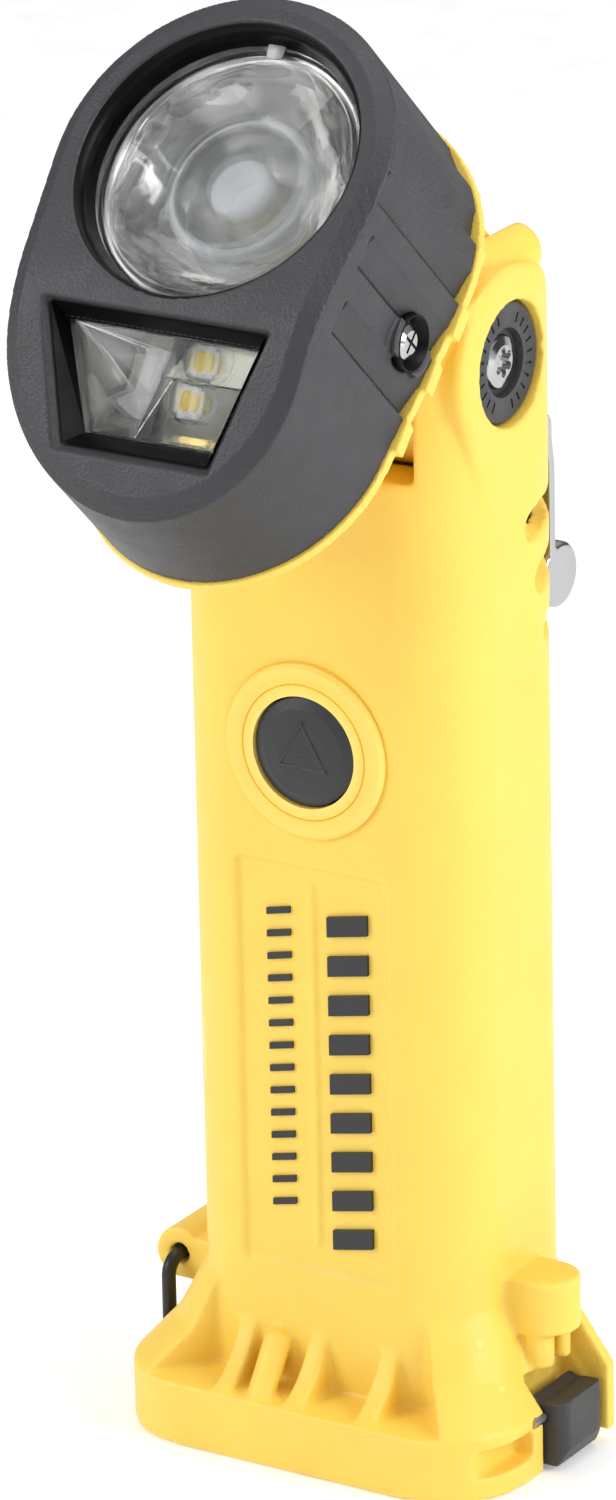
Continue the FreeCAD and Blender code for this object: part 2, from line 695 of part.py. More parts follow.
def flood_funnel():
    back = -S.flood_recess
    front = 6.0
    spread = S.flood_inset * front / S.flood_recess
    sections = [flood_outline(S.flood_inset, back), flood_outline(-spread, front)]
    return flood_solid(Part.makeLoft(sections, True, True))


def shingle_lines():
    """Height of each shingle's line on the bezel's flank and where its front leg stands."""
    reach = S.face_reach - S.bevel_depth - 0.4
    return [(16.3, reach), (7.6, reach), (-1.9, reach), (-10.8, reach - 2.6), (-20.5, reach - 3.9)]


def flank_side(height, offset=0.0):
    """Half width of the bezel at a height: straight flank below, round above."""
    straight = flank(height, offset)
    radius = S.bezel_radius + offset
    if height <= 0 or height >= radius:
        return straight
    return min(straight, math.sqrt(radius ** 2 - height ** 2))


def side_grooves():
    """Shingles on the flanks: each recess runs out upwards from a line with a short front leg."""
    grooves = []
    rise = 5.0
    for height, end in shingle_lines():
        low = flank_side(height)
        high = flank_side(height + rise)
        outline = [(low + 3, height), (low - 1.15, height),
                   (high - 0.2, height + rise), (low + 3, height + rise)]
        wire = Part.makePolygon([Vector(x, y, S.bezel_back - 1) for x, y in outline + outline[:1]])
        grooves.append(Part.Face(wire).extrude(Vector(0, 0, end - S.bezel_back + 1)))
        grooves.append(box((low - 1.6, height, S.bezel_back - 1), (low + 3, height + 0.6, end)))
        grooves.append(box((high - 1.2, height, end - 0.6), (low + 3, height + rise, end)))
    return [half for groove in grooves for half in mirrored_pair(groove)]


def bezel_screw_seat(side):
    """Centre of the raised seat round one of the bezel's side screws."""
    return Vector(side * (flank(-S.screw_side_drop) + S.screw_boss),
                  -S.screw_side_drop, S.screw_side_reach)


def head_bezel():
    shell = bevelled_front()
    seats = [bezel_screw_seat(side) for side in (1, -1)]
    bosses = [Part.makeCylinder(5.4, S.bezel_wall, seat, X * -side)
              for seat, side in zip(seats, (1, -1))]
    shell = fused([shell] + bosses)
    hollow = bezel_prism(-S.bezel_wall, S.bezel_back - 1, S.face_reach).common(front_profile(S.front_wall))
    lens_hole = S.lens_radius + S.seat_gap
    straight = Part.makeCylinder(lens_hole, S.front_wall, Vector(0, 0, S.face_reach - S.front_wall - 1))
    flare = Part.makeCone(lens_hole, S.spot_hole_radius + 0.4, S.lens_recess + 1,
                          Vector(0, 0, S.face_reach - S.lens_recess))
    cuts = [hollow, straight, flare, flood_funnel(), flood_prism(S.flood_inset, -9, 1, 0.15)]
    for seat, side in zip(seats, (1, -1)):
        cuts.append(Part.makeCylinder(4.1, 4, seat - X * side * S.screw_sink, X * side))
        cuts.append(Part.makeCylinder(1.6, 12, seat - X * side * 9, X * side))
    return cut_all(shell, cuts + side_grooves())


def bevelled_front():
    """Solid bezel whose rim steps down to its outline in a fine bevel."""
    steps = 4
    layers = []
    for index in range(steps + 1):
        share = index / steps
        skin = bezel_prism(-S.bevel_inset * share, S.bezel_back, S.face_reach + 1)
        layers.append(skin.common(front_profile(S.bevel_depth * (1 - share))))
    return fused(layers)


def screw_posts():
    """Posts on the head housing that the bezel's side screws bite into."""
    posts = []
    end = flank(-S.screw_side_drop) - S.bezel_wall - 0.25
    for side in (1, -1):
        foot = Vector(side * (end - 8), -S.screw_side_drop, S.screw_side_reach)
        posts.append(Part.makeCylinder(3.2, 8, foot, X * side))
        middle = side * (end - 3.4)
        posts.append(box((middle - 3, -S.screw_side_drop - 3, S.bezel_back),
                         (middle + 3, -S.screw_side_drop + 3, S.screw_side_reach)))
    return fused(posts)


def seal_groove(grow):
    """Band round the housing's spigot where the head seal sits."""
    low = S.bezel_back + 1.4
    outer = bezel_prism(-S.bezel_wall - S.seat_gap + 0.1, low - grow, low + 1.2 + grow)
    return outer.cut(bezel_prism(-S.bezel_wall - 1.1 - grow, low - 1, low + 3))


def detent_spot():
    """Point on the barrel's left side where the detent ball presses."""
    return Vector(-(S.fork_half_gap - S.barrel_side_gap), 0, -S.detent_reach)


def barrel_dimples():
    """Hollows for the detent ball with the head straight, half way and square."""
    dimples = []
    for beam in (0.0, S.head_tilt, 90.0):
        spot = Rotation(X, beam - 90.0).multVec(detent_spot())
        dimples.append(Part.makeSphere(1.4, spot + Vector(-1.0, 0, 0)))
    return dimples


def lip_teeth(plate):
    """Short thick lengths of the lip, one behind each shingle."""
    teeth = []
    for height, _ in shingle_lines():
        outside = flank_side(height, S.lip_stand) + 0.35
        tooth = box((outside - 3, height - 4.8, plate - 0.7), (outside, height - 0.2, S.bezel_back - 0.1))
        teeth.append(tooth.cut(bezel_prism(0.1, S.bezel_back - 0.1, S.bezel_back + 1)))
    return [half for tooth in teeth for half in mirrored_pair(tooth)]


def head_housing():
    half = S.fork_half_gap - S.barrel_side_gap
    plate = S.bezel_back - S.lip_thickness
    barrel = rod(S.barrel_radius, (-half, 0, 0), (half, 0, 0))
    neck = box((-half, 1.0 - S.fork_drop, 0), (half, S.barrel_radius, plate + 0.5))
    lip = bezel_prism(S.lip_stand, plate, S.bezel_back)
    spigot = bezel_prism(-S.bezel_wall - S.seat_gap, S.bezel_back - 0.5, S.bezel_back + 4.5)
    stub_end = S.grip_half_width - S.disc_recess - S.disc_thickness
    stub = rod(S.trunnion_radius, (-stub_end, 0, 0), (stub_end, 0, 0))
    posts = screw_posts()
    shell = fused([barrel, neck, lip, spigot, stub, posts] + lip_teeth(plate))
    hollow = rod(12.5, (0, 0, -9), (0, 0, S.bezel_back + 8))
    inside = bezel_prism(-S.bezel_wall - 2.4, S.bezel_back + 0.6, S.bezel_back + 6).cut(posts)
    bore = rod(2.0, (-30, 0, 0), (30, 0, 0))
    threads = [rod(1.3, (side * 10, -S.screw_side_drop, S.screw_side_reach),
                   (side * 30, -S.screw_side_drop, S.screw_side_reach)) for side in (1, -1)]
    return cut_all(shell, [hollow, inside, bore, seal_groove(0.05)] + threads + barrel_dimples())


# ---------------------------------------------------------------- optics

def spot_lens():
    low = S.face_reach - S.lens_recess - S.lens_thickness
    rim = S.lens_radius
    lens = turned([(0, 0), (rim, 0), (rim, S.lens_thickness), (rim - 1.4, S.lens_thickness),
                   (rim - 1.8, S.lens_thickness - 0.5), (0, S.lens_thickness - 0.5)], Vector(0, 0, low))
    top = low + S.lens_thickness
    tab = box((-1.9, rim - 1.2, top - 0.6), (1.9, rim + 0.05, top + 0.7))
    return lens.fuse(tab)


def reflector_radius(height, depth):
    return 6.0 + (S.lens_radius - 0.8 - 6.0) * math.sqrt(height / depth)


def spot_reflector():
    """Parabolic bowl behind the spot lens."""
    top = S.face_reach - S.front_wall - 0.2
    depth = 13.5
    count = 8
    inner = []
    for step in range(count + 1):
        height = depth * (step / count) ** 2
        inner.append((reflector_radius(height, depth), top - depth + height))
    outer = [(radius + S.reflector_wall, z - 0.2) for radius, z in reversed(inner)]
    outer[0] = (inner[-1][0] + S.reflector_wall, top)
    outer[-1] = (inner[0][0] + S.reflector_wall, top - depth)
    return turned(inner + outer)


def spot_optic():
    """Moulded optic: a cone with a stepped crown and a round nose."""
    base = S.face_reach - S.front_wall - 13.0
    crown = base + 9.0
    radius = S.optic_radius
    profile = [(2.6, base), (4.4, base), (radius, crown - 1.6), (radius, crown),
               (radius * 0.8, crown + 0.4), (radius * 0.55, crown - 1.0), (4.9, crown - 0.8),
               (4.9, crown + 0.9), (0, crown + 1.3),
               (0, base + 2.6), (2.6, base + 2.0)]
    return turned(profile)


def flood_reflector():
    """Faceted trough behind the flood window."""
    back = -S.flood_depth
    front = -S.flood_recess - S.flood_lens_thickness - 0.5
    outer = Part.makeLoft([flood_outline(S.flood_inset + 1.6, back), flood_outline(S.flood_inset, front)],
                          True, True)
    inner = Part.makeLoft([flood_outline(S.flood_inset + 3.6, back + 1.0),
                           flood_outline(S.flood_inset + 0.7, front + 0.1)], True, True)
    block = outer.cut(inner)
    leds = [Part.makeCylinder(3.5, 6, Vector(x, y, back - 2)) for x, y in led_places()]
    return flood_solid(cut_all(block, leds))


def led_places():
    """Centres of the flood LEDs in the flood window's frame, both in its right half."""
    return [(3.6, -6.6), (2.3, -11.9)]


def flood_leds():
    chips = []
    half = S.led_size / 2
    back = -S.flood_depth
    for x, y in led_places():
        base = Part.makeBox(2 * half, 2 * half, 0.8, Vector(x - half, y - half, back))
        corner = Vector(x - 0.6 * half, y - 0.6 * half, back + 0.8)
        phosphor = Part.makeBox(1.2 * half, 1.2 * half, 0.2, corner)
        chips.append(flood_solid(base.fuse(phosphor)))
    return Part.makeCompound(chips)


# ---------------------------------------------------------------- screws and springs

def screw(head_radius, head_height, shank_radius, length, star_radius, lobes, place):
    """Pan-head screw along -Z of its place, with a star or cross recess in the head."""
    dome = [(0, head_height), (head_radius * 0.62, head_height), (head_radius * 0.93, head_height * 0.62),
            (head_radius, head_height * 0.2), (head_radius, 0), (shank_radius, 0),
            (shank_radius, -length), (0, -length)]
    body = turned(dome)
    depth = head_height * 0.75
    floor = head_height - depth
    recess = []
    if lobes == 6:
        recess.append(Part.makeCylinder(star_radius * 0.62, depth + 1, Vector(0, 0, floor)))
    for step in range(lobes):
        angle = 2 * math.pi * step / lobes
        out = star_radius * 0.72
        if lobes == 6:
            lobe = Vector(out * math.cos(angle), out * math.sin(angle), floor)
            recess.append(Part.makeCylinder(star_radius * 0.26, depth + 1, lobe))
        else:
            arm = Part.makeBox(star_radius, star_radius * 0.3, depth + 1,
                               Vector(0, -star_radius * 0.15, head_height - depth))
            arm.rotate(ORIGIN, Z, math.degrees(angle))
            recess.append(arm)
    body = cut_all(body, recess)
    body.Placement = place
    return body


def coil_spring(wire, radius, turns, high, place):
    """Helical spring of a given height that stands on its placement, as one swept solid."""
    helix = Part.makeHelix(high / turns, high, radius)
    sides = 6
    corners = []
    for index in range(sides + 1):
        angle = 2 * math.pi * index / sides
        corners.append(Vector(radius + wire * math.cos(angle), 0, wire * math.sin(angle)))
    section = Part.makePolygon(corners)
    spring = Part.Wire(helix.Edges).makePipeShell([section], True, True)
    spring.Placement = place
    return spring


# ---------------------------------------------------------------- clip, ring, latch, door

def spring_clip():
    """Wide steel clip: hinge eye, arm that stands off the grip, rolled lower end."""
    half = S.clip_half_width
    axis = Vector(0, S.clip_axis_back, S.clip_axis_up)
    arm = S.clip_stand
    thick = S.clip_thickness
    end = S.clip_axis_up - S.clip_length
    roll_y = arm + 3.0
    eye = rod(2.4, (-half, axis.y, axis.z), (half, axis.y, axis.z))
    sheet_shape = side_prism([(axis.y - 0.4, axis.z + 2.4), (axis.y + 1.6, axis.z + 2.2),
                              (arm + thick, axis.z - 5.4), (arm + thick, end), (arm, end),
                              (arm, axis.z - 5.0), (axis.y - 0.4, axis.z)], -half, half)
    roll = rod(S.clip_roll_radius, (-half, roll_y, end + 0.5), (half, roll_y, end + 0.5))
    rim = [edge for edge in roll.Edges if abs(edge.BoundBox.XMax - edge.BoundBox.XMin) < 0.01]
    roll = roll.makeFillet(0.7, rim)
    clip = fused([eye, sheet_shape, roll])
    hole = rod(1.0 + S.running_gap, (-half - 1, axis.y, axis.z), (half + 1, axis.y, axis.z))
    window = box((-6.4, axis.y - 3.2, axis.z - 3.6), (6.4, axis.y + 3.0, axis.z + 3.4))
    return cut_all(clip, [hole, window])


def clip_bracket():
    """Steel bracket screwed to the back of the grip that carries the clip's pin."""
    back = S.grip_half_depth
    base = box((-9.0, back, 134.0), (9.0, back + 1.2, S.clip_axis_up + 1.0))
    tongue = box((-5.8, back + 0.4, S.clip_axis_up - 2.0), (5.8, S.clip_axis_back, S.clip_axis_up + 2.0))
    eye = rod(2.0, (-5.8, S.clip_axis_back, S.clip_axis_up), (5.8, S.clip_axis_back, S.clip_axis_up))
    pin = rod(1.0 + S.running_gap, (-8, S.clip_axis_back, S.clip_axis_up),
              (8, S.clip_axis_back, S.clip_axis_up))
    holes = [rod(1.2, (x, back - 1, 139.0), (x, back + 3, 139.0)) for x in (-6.0, 6.0)]
    return cut_all(fused([base, tongue, eye]), [pin] + holes)


def d_ring():
    """Bent wire ring: a bar through the lug and a loop that hangs from it."""
    wire = S.ring_wire_radius
    half = S.ring_half_length
    x, top = -S.lug_out, S.lug_up
    low = top - S.ring_drop
    bend = 2.6
    corners = [(-half, top), (half, top), (half, low), (-half, low)]
    edges = []
    points = [Vector(x, y, z) for y, z in corners]
    for index in range(4):
        before, here, after = points[index - 1], points[index], points[(index + 1) % 4]
        arrive = here + (before - here).normalize() * bend
        leave = here + (after - here).normalize() * bend
        centre = arrive + (after - here).normalize() * bend
        middle = centre + (here - centre).normalize() * bend
        edges.append(Part.Arc(arrive, middle, leave).toShape())
        edges.append(Part.makeLine(leave, after + (here - after).normalize() * bend))
    path = Part.Wire(edges)
    start = edges[1].Vertexes[0].Point
    section = Part.Wire(Part.makeCircle(wire, start, points[1] - points[0]))
    path = Part.Wire(edges[1:] + edges[:1])
    return path.makePipeShell([section], True, False)


def latch_lever():
    """Black lever over the flange's side, with its nose beside the door's tab."""
    centre, half = -S.latch_centre, S.latch_half_width
    out, x, z = S.latch_reach, S.latch_axis_out, S.latch_axis_up
    side = [(x - 2.4, z + 2.6), (x - 0.6, z + 1.9), (x + 1.6, z + 2.4), (out, z + 3.4), (out, 3.2),
            (out - 1.4, 0.6), (S.door_half_width + 2.4, 0.6), (S.door_half_width + 2.4, 2.2),
            (x - 2.0, 3.4), (x - 2.4, 5.0)]
    body = front_prism(side, centre - half, centre + half)
    trim = [box((0, centre + sign * 5.7 - 2.6, -1), (x - 2.0, centre + sign * 5.7 + 2.6, 4.6))
            for sign in (1, -1)]
    pin = rod(0.8 + S.running_gap, (x, centre - half - 1, z), (x, centre + half + 1, z))
    dish = rod(9.0, (x + 1.0, centre - half - 1, z + 11.2), (x + 1.0, centre + half + 1, z + 11.2))
    corners = [edge for edge in body.Edges
               if edge.BoundBox.XMin > out - 0.01 and edge.BoundBox.YLength < 0.01]
    body = body.makeFillet(1.8, corners)
    return cut_all(body, trim + [pin, dish])


def tail_door():
    low = S.door_rise
    high = low + S.door_thickness
    centre = -S.door_centre
    plate = rounded_prism(S.door_half_width, S.door_half_depth, 6.0, low, high, centre)
    x, z = hinge_line()
    radius = S.door_thickness / 2
    knuckle = rod(radius, (x, centre - 6.0, z), (x, centre + 6.0, z))
    bridge = box((x, centre - 6.0, low), (x + 4, centre + 6.0, high))
    tab = box((S.door_half_width - 2, -S.latch_centre - 3.0, low + 1.9),
              (S.door_half_width + 2.1, -S.latch_centre + 3.0, high))
    pin = rod(S.hinge_pin_radius + S.running_gap, (x, centre - 7, z), (x, centre + 7, z))
    groove = rounded_prism(S.door_half_width - 5, S.door_half_depth - 4, 4.0,
                           low - 1, low + 0.6, centre)
    island = rounded_prism(S.door_half_width - 7, S.door_half_depth - 6, 3.0,
                           low - 2, low + 1, centre)
    groove = groove.cut(island)
    return cut_all(fused([plate, knuckle, bridge, tab]), [pin, groove])


def door_seal():
    """Rubber seal on the door's inner face, round the battery bay."""
    low = S.door_rise + S.door_thickness
    half_x = S.grip_half_width - S.grip_wall - 0.4
    half_y = S.grip_half_depth - S.grip_wall - 0.4
    corner = S.grip_corner - S.grip_wall - 0.3
    outer = rounded_prism(half_x, half_y, corner, low, low + 0.9)
    inner = rounded_prism(half_x - 2, half_y - 2, corner - 2, low - 1, low + 2)
    return outer.cut(inner)


# ---------------------------------------------------------------- battery and inner parts

def cell_spots():
    return (-S.cell_radius - 0.6, S.cell_radius + 0.6)


def battery_cells():
    cells = []
    for x in cell_spots():
        body = Part.makeCylinder(S.cell_radius, S.cell_length, Vector(x, 0, S.cell_low))
        tip = Part.makeCylinder(3.0, 1.0, Vector(x, 0, S.cell_low + S.cell_length))
        cells.append(body.fuse(tip))
    return Part.makeCompound(cells)


def battery_carrier():
    """Moulded cradle round the two cells with a floor, a roof and a back wall."""
    wall = 1.4
    low = S.cell_low - 2.0
    high = S.cell_low + S.cell_length + 3.0
    half_x = 2 * S.cell_radius + 0.6 + 0.25 + wall
    half_y = S.cell_radius + 0.25 + wall
    block = rounded_prism(half_x, half_y, 6.0, low, high)
    hollows = []
    for x in cell_spots():
        foot = Vector(x, 0, S.cell_low - 0.2)
        hollows.append(Part.makeCylinder(S.cell_radius + 0.25, S.cell_length + 1.4, foot))
        window = box((x - 6.5, -half_y - 1, S.cell_low + 4), (x + 6.5, 0, S.cell_low + S.cell_length - 4))
        hollows.append(window)
        hollows.append(Part.makeCylinder(3.4, 5, Vector(x, 0, low - 1)))
        hollows.append(Part.makeCylinder(3.6, 5, Vector(x, 0, high - 4)))
    return cut_all(block, hollows)


def contact_frame():
    """Board under the grip's roof with two contact pads for the battery."""
    level = S.cell_low + S.cell_length + 9.0
    board = rounded_prism(S.grip_half_width - S.grip_wall - 0.5, S.grip_half_depth - S.grip_wall - 0.5,
                          8.0, level, level + 1.6)
    return board


def heat_sink():
    """Finned aluminium slug that carries the spot light's board."""
    top = S.face_reach - S.front_wall - 16.0
    slug = [Part.makeCylinder(11.6, 2.2, Vector(0, 0, top - 2.2)),
            Part.makeCylinder(5.0, 12.0, Vector(0, 0, top - 13))]
    for step in range(3):
        slug.append(Part.makeCylinder(10.6, 1.2, Vector(0, 0, top - 5.2 - 3.0 * step)))
    return fused(slug)


# ---------------------------------------------------------------- assembly

def add_handle():
    feature("handle_housing", handle_housing())
    feature("nameplate_bars", nameplate_bars())
    feature("nameplate_ticks", nameplate_ticks())
    feature("switch_ring", switch_ring())
    feature("switch_button", switch_button())
    behind = -S.grip_half_depth + S.grip_wall + 0.2 + 2 * S.button_travel + 2.4
    disc_body("switch_dome", ["3.6"], "0.5", Placement(Vector(0, behind, S.switch_height), turned_to(Y)))
    board = Placement(Vector(0, behind + 0.6, S.switch_height), Rotation(X, -90))
    plate_body("switch_board", "24", "22", "1.6", board)


def add_battery():
    feature("battery_cells", battery_cells())
    feature("battery_carrier", battery_carrier())
    buttons = [Part.makeCylinder(3.0, 2.2, Vector(x, 0, S.cell_low - 2.2)) for x in cell_spots()]
    feature("cell_contacts", Part.makeCompound(buttons))
    feature("contact_board", contact_frame())
    low = S.cell_low + S.cell_length + 1.2
    springs = [coil_spring(0.35, 2.6, 4, 6.9, Placement(Vector(x, 0, low + 0.2), Rotation()))
               for x in cell_spots()]
    feature("contact_springs", Part.makeCompound(springs))
    pads = [rod(2.5, (x, S.grip_half_depth - S.grip_wall - 0.6, 34.0), (x, S.grip_half_depth + 0.1, 34.0))
            for x in (-8.0, 8.0)]
    feature("charge_contacts", Part.makeCompound(pads))


def add_head_shells():
    feature("head_housing", head_housing(), HEAD)
    feature("head_bezel", head_bezel(), HEAD)
    feature("head_seal", seal_groove(0.0), HEAD)
    screws = []
    for side in (1, -1):
        place = Placement(bezel_screw_seat(side) - X * side * S.screw_sink, turned_to(X * side))
        screws.append(screw(2.7, 1.2, 1.25, 6.0, 1.7, 4, place))
    feature("bezel_screws", Part.makeCompound(screws), HEAD)


def add_optics():
    feature("spot_lens", spot_lens(), HEAD)
    feature("spot_reflector", spot_reflector(), HEAD)
    feature("spot_optic", spot_optic(), HEAD)
    base = S.face_reach - S.front_wall - 13.8
    led_place = HEAD.multiply(Placement(Vector(0, 0, base), Rotation()))
    disc_body("spot_led", ["2.3"], "2.4", led_place)
    board_place = HEAD.multiply(Placement(Vector(0, 0, base - 1.8), Rotation()))
    disc_body("spot_board", ["11"], "1.6", board_place)
    feature("heat_sink", heat_sink(), HEAD)
    lens_low = -S.flood_recess - S.flood_lens_thickness
    feature("flood_lens", flood_prism(S.flood_inset + 0.05, lens_low, -S.flood_recess), HEAD)
    feature("flood_reflector", flood_reflector(), HEAD)
    feature("flood_leds", flood_leds(), HEAD)
    middle = Vector(0, -S.flood_top - S.flood_length / 2, -S.flood_depth - 1.6)
    place = HEAD.multiply(FLOOD).multiply(Placement(middle, Rotation()))
    plate_body("flood_board", "2 * Sizes.flood_low_half", "Sizes.flood_length - 6", "1.5", place)


def add_pivot():
    face = S.grip_half_width - S.disc_recess
    back = face - S.disc_thickness
    for name, side in (("right", 1), ("left", -1)):
        axis = X * side
        place = Placement(PIVOT + axis * back, turned_to(axis))
        disc = turned([(2.1, 0), (S.disc_radius, 0), (S.disc_radius, S.disc_thickness - 0.3),
                       (S.disc_radius - 0.3, S.disc_thickness), (5.1, S.disc_thickness),
                       (4.9, 0.9), (2.1, 0.9)])
        ticks = []
        for step in range(24):
            angle = math.radians(15 * step)
            if step % 12 in (0, 11):
                continue
            tick = Part.makeBox(1.5, 0.4, 1.0, Vector(6.0, -0.2, S.disc_thickness - 0.25))
            tick.rotate(ORIGIN, Z, math.degrees(angle))
            ticks.append(tick)
        feature("pivot_disc_" + name, cut_all(disc, ticks), place)
        screw_place = Placement(PIVOT + axis * (back + 0.9), turned_to(axis))
        feature("pivot_screw_" + name, screw(4.0, 0.95, 1.9, 8.0, 2.3, 6, screw_place))
        bush = Placement(PIVOT + axis * (S.fork_half_gap + 0.05), turned_to(axis))
        bush_length = ("Sizes.grip_half_width - Sizes.disc_recess - Sizes.disc_thickness"
                       " - Sizes.fork_half_gap - 0.2")
        ring("pivot_bush_" + name, "Sizes.bush_radius", "Sizes.trunnion_radius + Sizes.running_gap",
             bush_length, bush)


def add_detent():
    centre = detent_place()
    ball_place = Placement(centre, Rotation())
    sphere = doc.addObject("Part::Sphere", "detent_ball")
    sphere.Radius = 1.2
    sphere.Placement = ball_place
    keep(sphere, "detent_ball")
    spring_place = Placement(centre - X * 1.45, turned_to(-X))
    feature("detent_spring", coil_spring(0.18, 0.9, 4, 2.6, spring_place))


def add_clip():
    feature("spring_clip", spring_clip())
    feature("clip_bracket", clip_bracket())
    back = S.grip_half_depth + 1.25
    tip = S.clip_stand - 0.3
    leaf = side_prism([(back, 140.0), (back + 0.5, 140.0), (tip, 134.4), (tip - 0.5, 134.2)],
                      -3.4, 3.4)
    feature("clip_spring", leaf)
    pin_place = Placement(Vector(-S.clip_half_width - 0.6, S.clip_axis_back, S.clip_axis_up), turned_to(X))
    keep(cylinder("clip_pin", "1", "2 * Sizes.clip_half_width + 1.2", pin_place), "clip_pin")
    screws = []
    for x in (-6.0, 6.0):
        screw_place = Placement(Vector(x, S.grip_half_depth + 1.2, 139.0), turned_to(Y))
        screws.append(screw(2.2, 1.2, 1.0, 4.0, 1.4, 4, screw_place))
    feature("clip_screws", Part.makeCompound(screws))


def add_foot():
    feature("d_ring", d_ring())
    feature("tail_door", tail_door())
    feature("door_seal", door_seal())
    top = S.door_rise + S.door_thickness
    strap = box((-14.0, -4.0, top), (14.0, 4.0, top + 0.5))
    feature("door_contact", strap)
    springs = [coil_spring(0.35, 2.6, 4, S.cell_low - 3.6 - top,
                           Placement(Vector(x, 0, top + 0.86), Rotation())) for x in cell_spots()]
    feature("door_springs", Part.makeCompound(springs))
    x, z = hinge_line()
    pin = Placement(Vector(x, -S.door_centre - 9.8, z), turned_to(Y))
    keep(cylinder("door_hinge_pin", "Sizes.hinge_pin_radius", "19.6", pin), "door_hinge_pin")
    feature("latch_lever", latch_lever())
    low = -S.latch_centre - S.latch_half_width - 3.2
    pin = Placement(Vector(S.latch_axis_out, low, S.latch_axis_up), turned_to(Y))
    keep(cylinder("latch_pin", "0.8", "2 * Sizes.latch_half_width + 5.8", pin), "latch_pin")


def check_document():
    for obj in doc.Objects:
        if "Invalid" in obj.State or "Error" in obj.State:
            raise RuntimeError("failed object: " + obj.Label)
    for obj in subparts:
        if obj.Shape.isNull() or not obj.Shape.isValid() or not obj.Shape.Solids:
            raise RuntimeError("bad shape: " + obj.Label)


def write_parts():
    os.makedirs("parts", exist_ok=True)
    for obj in subparts:
        obj.Shape.exportStep("parts/" + obj.Label + ".step")
        bounds = obj.Shape.BoundBox
        print("%-18s solids %d volume %9.1f  z %.1f..%.1f" % (
            obj.Label, len(obj.Shape.Solids), obj.Shape.Volume, bounds.ZMin, bounds.ZMax))


add_handle()
add_battery()
add_head_shells()
add_optics()
add_pivot()
add_detent()
add_clip()
add_foot()
doc.recompute()
check_document()
write_parts()
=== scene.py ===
"""Looks of the firefighter flashlight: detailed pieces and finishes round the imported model."""
import json
import math

import bmesh
import bpy
from mathutils import Matrix, Vector


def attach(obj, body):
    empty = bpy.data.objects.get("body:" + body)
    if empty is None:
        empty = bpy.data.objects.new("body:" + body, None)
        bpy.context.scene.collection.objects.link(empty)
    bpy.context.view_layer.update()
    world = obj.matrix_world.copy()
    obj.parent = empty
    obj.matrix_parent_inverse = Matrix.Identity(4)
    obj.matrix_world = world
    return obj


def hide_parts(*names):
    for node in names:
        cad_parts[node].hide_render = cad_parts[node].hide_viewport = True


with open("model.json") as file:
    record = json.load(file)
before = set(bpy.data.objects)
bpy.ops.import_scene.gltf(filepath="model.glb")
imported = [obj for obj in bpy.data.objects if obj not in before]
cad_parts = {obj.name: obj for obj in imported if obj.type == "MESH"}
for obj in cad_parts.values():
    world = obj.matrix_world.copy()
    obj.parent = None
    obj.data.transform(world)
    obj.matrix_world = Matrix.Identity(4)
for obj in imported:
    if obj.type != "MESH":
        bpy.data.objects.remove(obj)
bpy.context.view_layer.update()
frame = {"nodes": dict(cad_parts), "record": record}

MM = 0.001
NODES = frame["nodes"]
BODY_OF = {node: body for body, nodes in frame["record"]["behaviour"]["bodies"].items()
           for node in nodes}
SLOT_OF = {row["node"]: row["material_slot"] for row in frame["record"]["subparts"]}

# Sizes shared with the CAD model, in millimetres.
PIVOT_UP = 167.4
TILT = math.radians(44.0)
FACE = 53.3
BEZEL_BACK = 21.8
BEND_DROP = 23.0
BEND = math.radians(23.0)

HEAD = Matrix.Translation((0, 0, PIVOT_UP * MM)) @ Matrix.Rotation(math.pi / 2 - TILT, 4, "X")
FLOOD = HEAD @ Matrix.Translation((0, -BEND_DROP * MM, FACE * MM)) @ Matrix.Rotation(BEND, 4, "X")

# Heights below the faces of the head, in millimetres.
LENS_TOP = FACE - 4.0
BOWL_TOP = LENS_TOP - 2.0
OPTIC_CROWN = LENS_TOP - 4.2
FLOOD_RIM = -6.0
FLOOD_BOARD = -10.8
FLOOD_PANE_MIDDLE = -4.8

# The bezel's side screws, in the head's frame.
SCREW_DROP = 12.0
SCREW_REACH = 29.0
SCREW_WELL_FLOOR = 24.5

# Flood LEDs: centres in the flood frame and half sizes of package and phosphor.
LED_SPOTS = [(3.6, -6.9), (2.3, -12.6)]
LED_HALF = 2.5
GLOW_HALF = 1.45
LED_CUTOUT = 3.2


# ---------------------------------------------------------------- camera, lights, floor

def add_camera():
    """Camera at the object's usual three-quarter view from a little above."""
    azimuth, elevation, roll = (math.radians(v) for v in (32.256, 20.293, 1.238))
    back = Vector((math.sin(azimuth) * math.cos(elevation), -math.cos(azimuth) * math.cos(elevation),
                   math.sin(elevation)))
    right = Vector((math.cos(azimuth), math.sin(azimuth), 0))
    up = back.cross(right)
    across = right * math.cos(roll) - up * math.sin(roll)
    upward = right * math.sin(roll) + up * math.cos(roll)
    target = Vector((-14.147, 4.8, 100.51)) * MM
    distance = 1286.382 * MM
    data = bpy.data.cameras.new("camera")
    data.lens = 209.64
    data.sensor_width = 36.0
    data.clip_end = 20.0
    camera = bpy.data.objects.new("camera", data)
    turn = Matrix((across, upward, back)).transposed().to_4x4()
    camera.matrix_world = Matrix.Translation(target + back * distance) @ turn
    bpy.context.scene.collection.objects.link(camera)
    bpy.context.scene.camera = camera


def add_softbox(name, place, aim, size, power):
    data = bpy.data.lights.new(name, "AREA")
    data.shape = "RECTANGLE"
    data.size, data.size_y = size
    data.energy = power
    lamp = bpy.data.objects.new(name, data)
    lamp.location = place
    lamp.rotation_euler = (Vector(aim) - Vector(place)).to_track_quat("-Z", "Y").to_euler()
    bpy.context.scene.collection.objects.link(lamp)


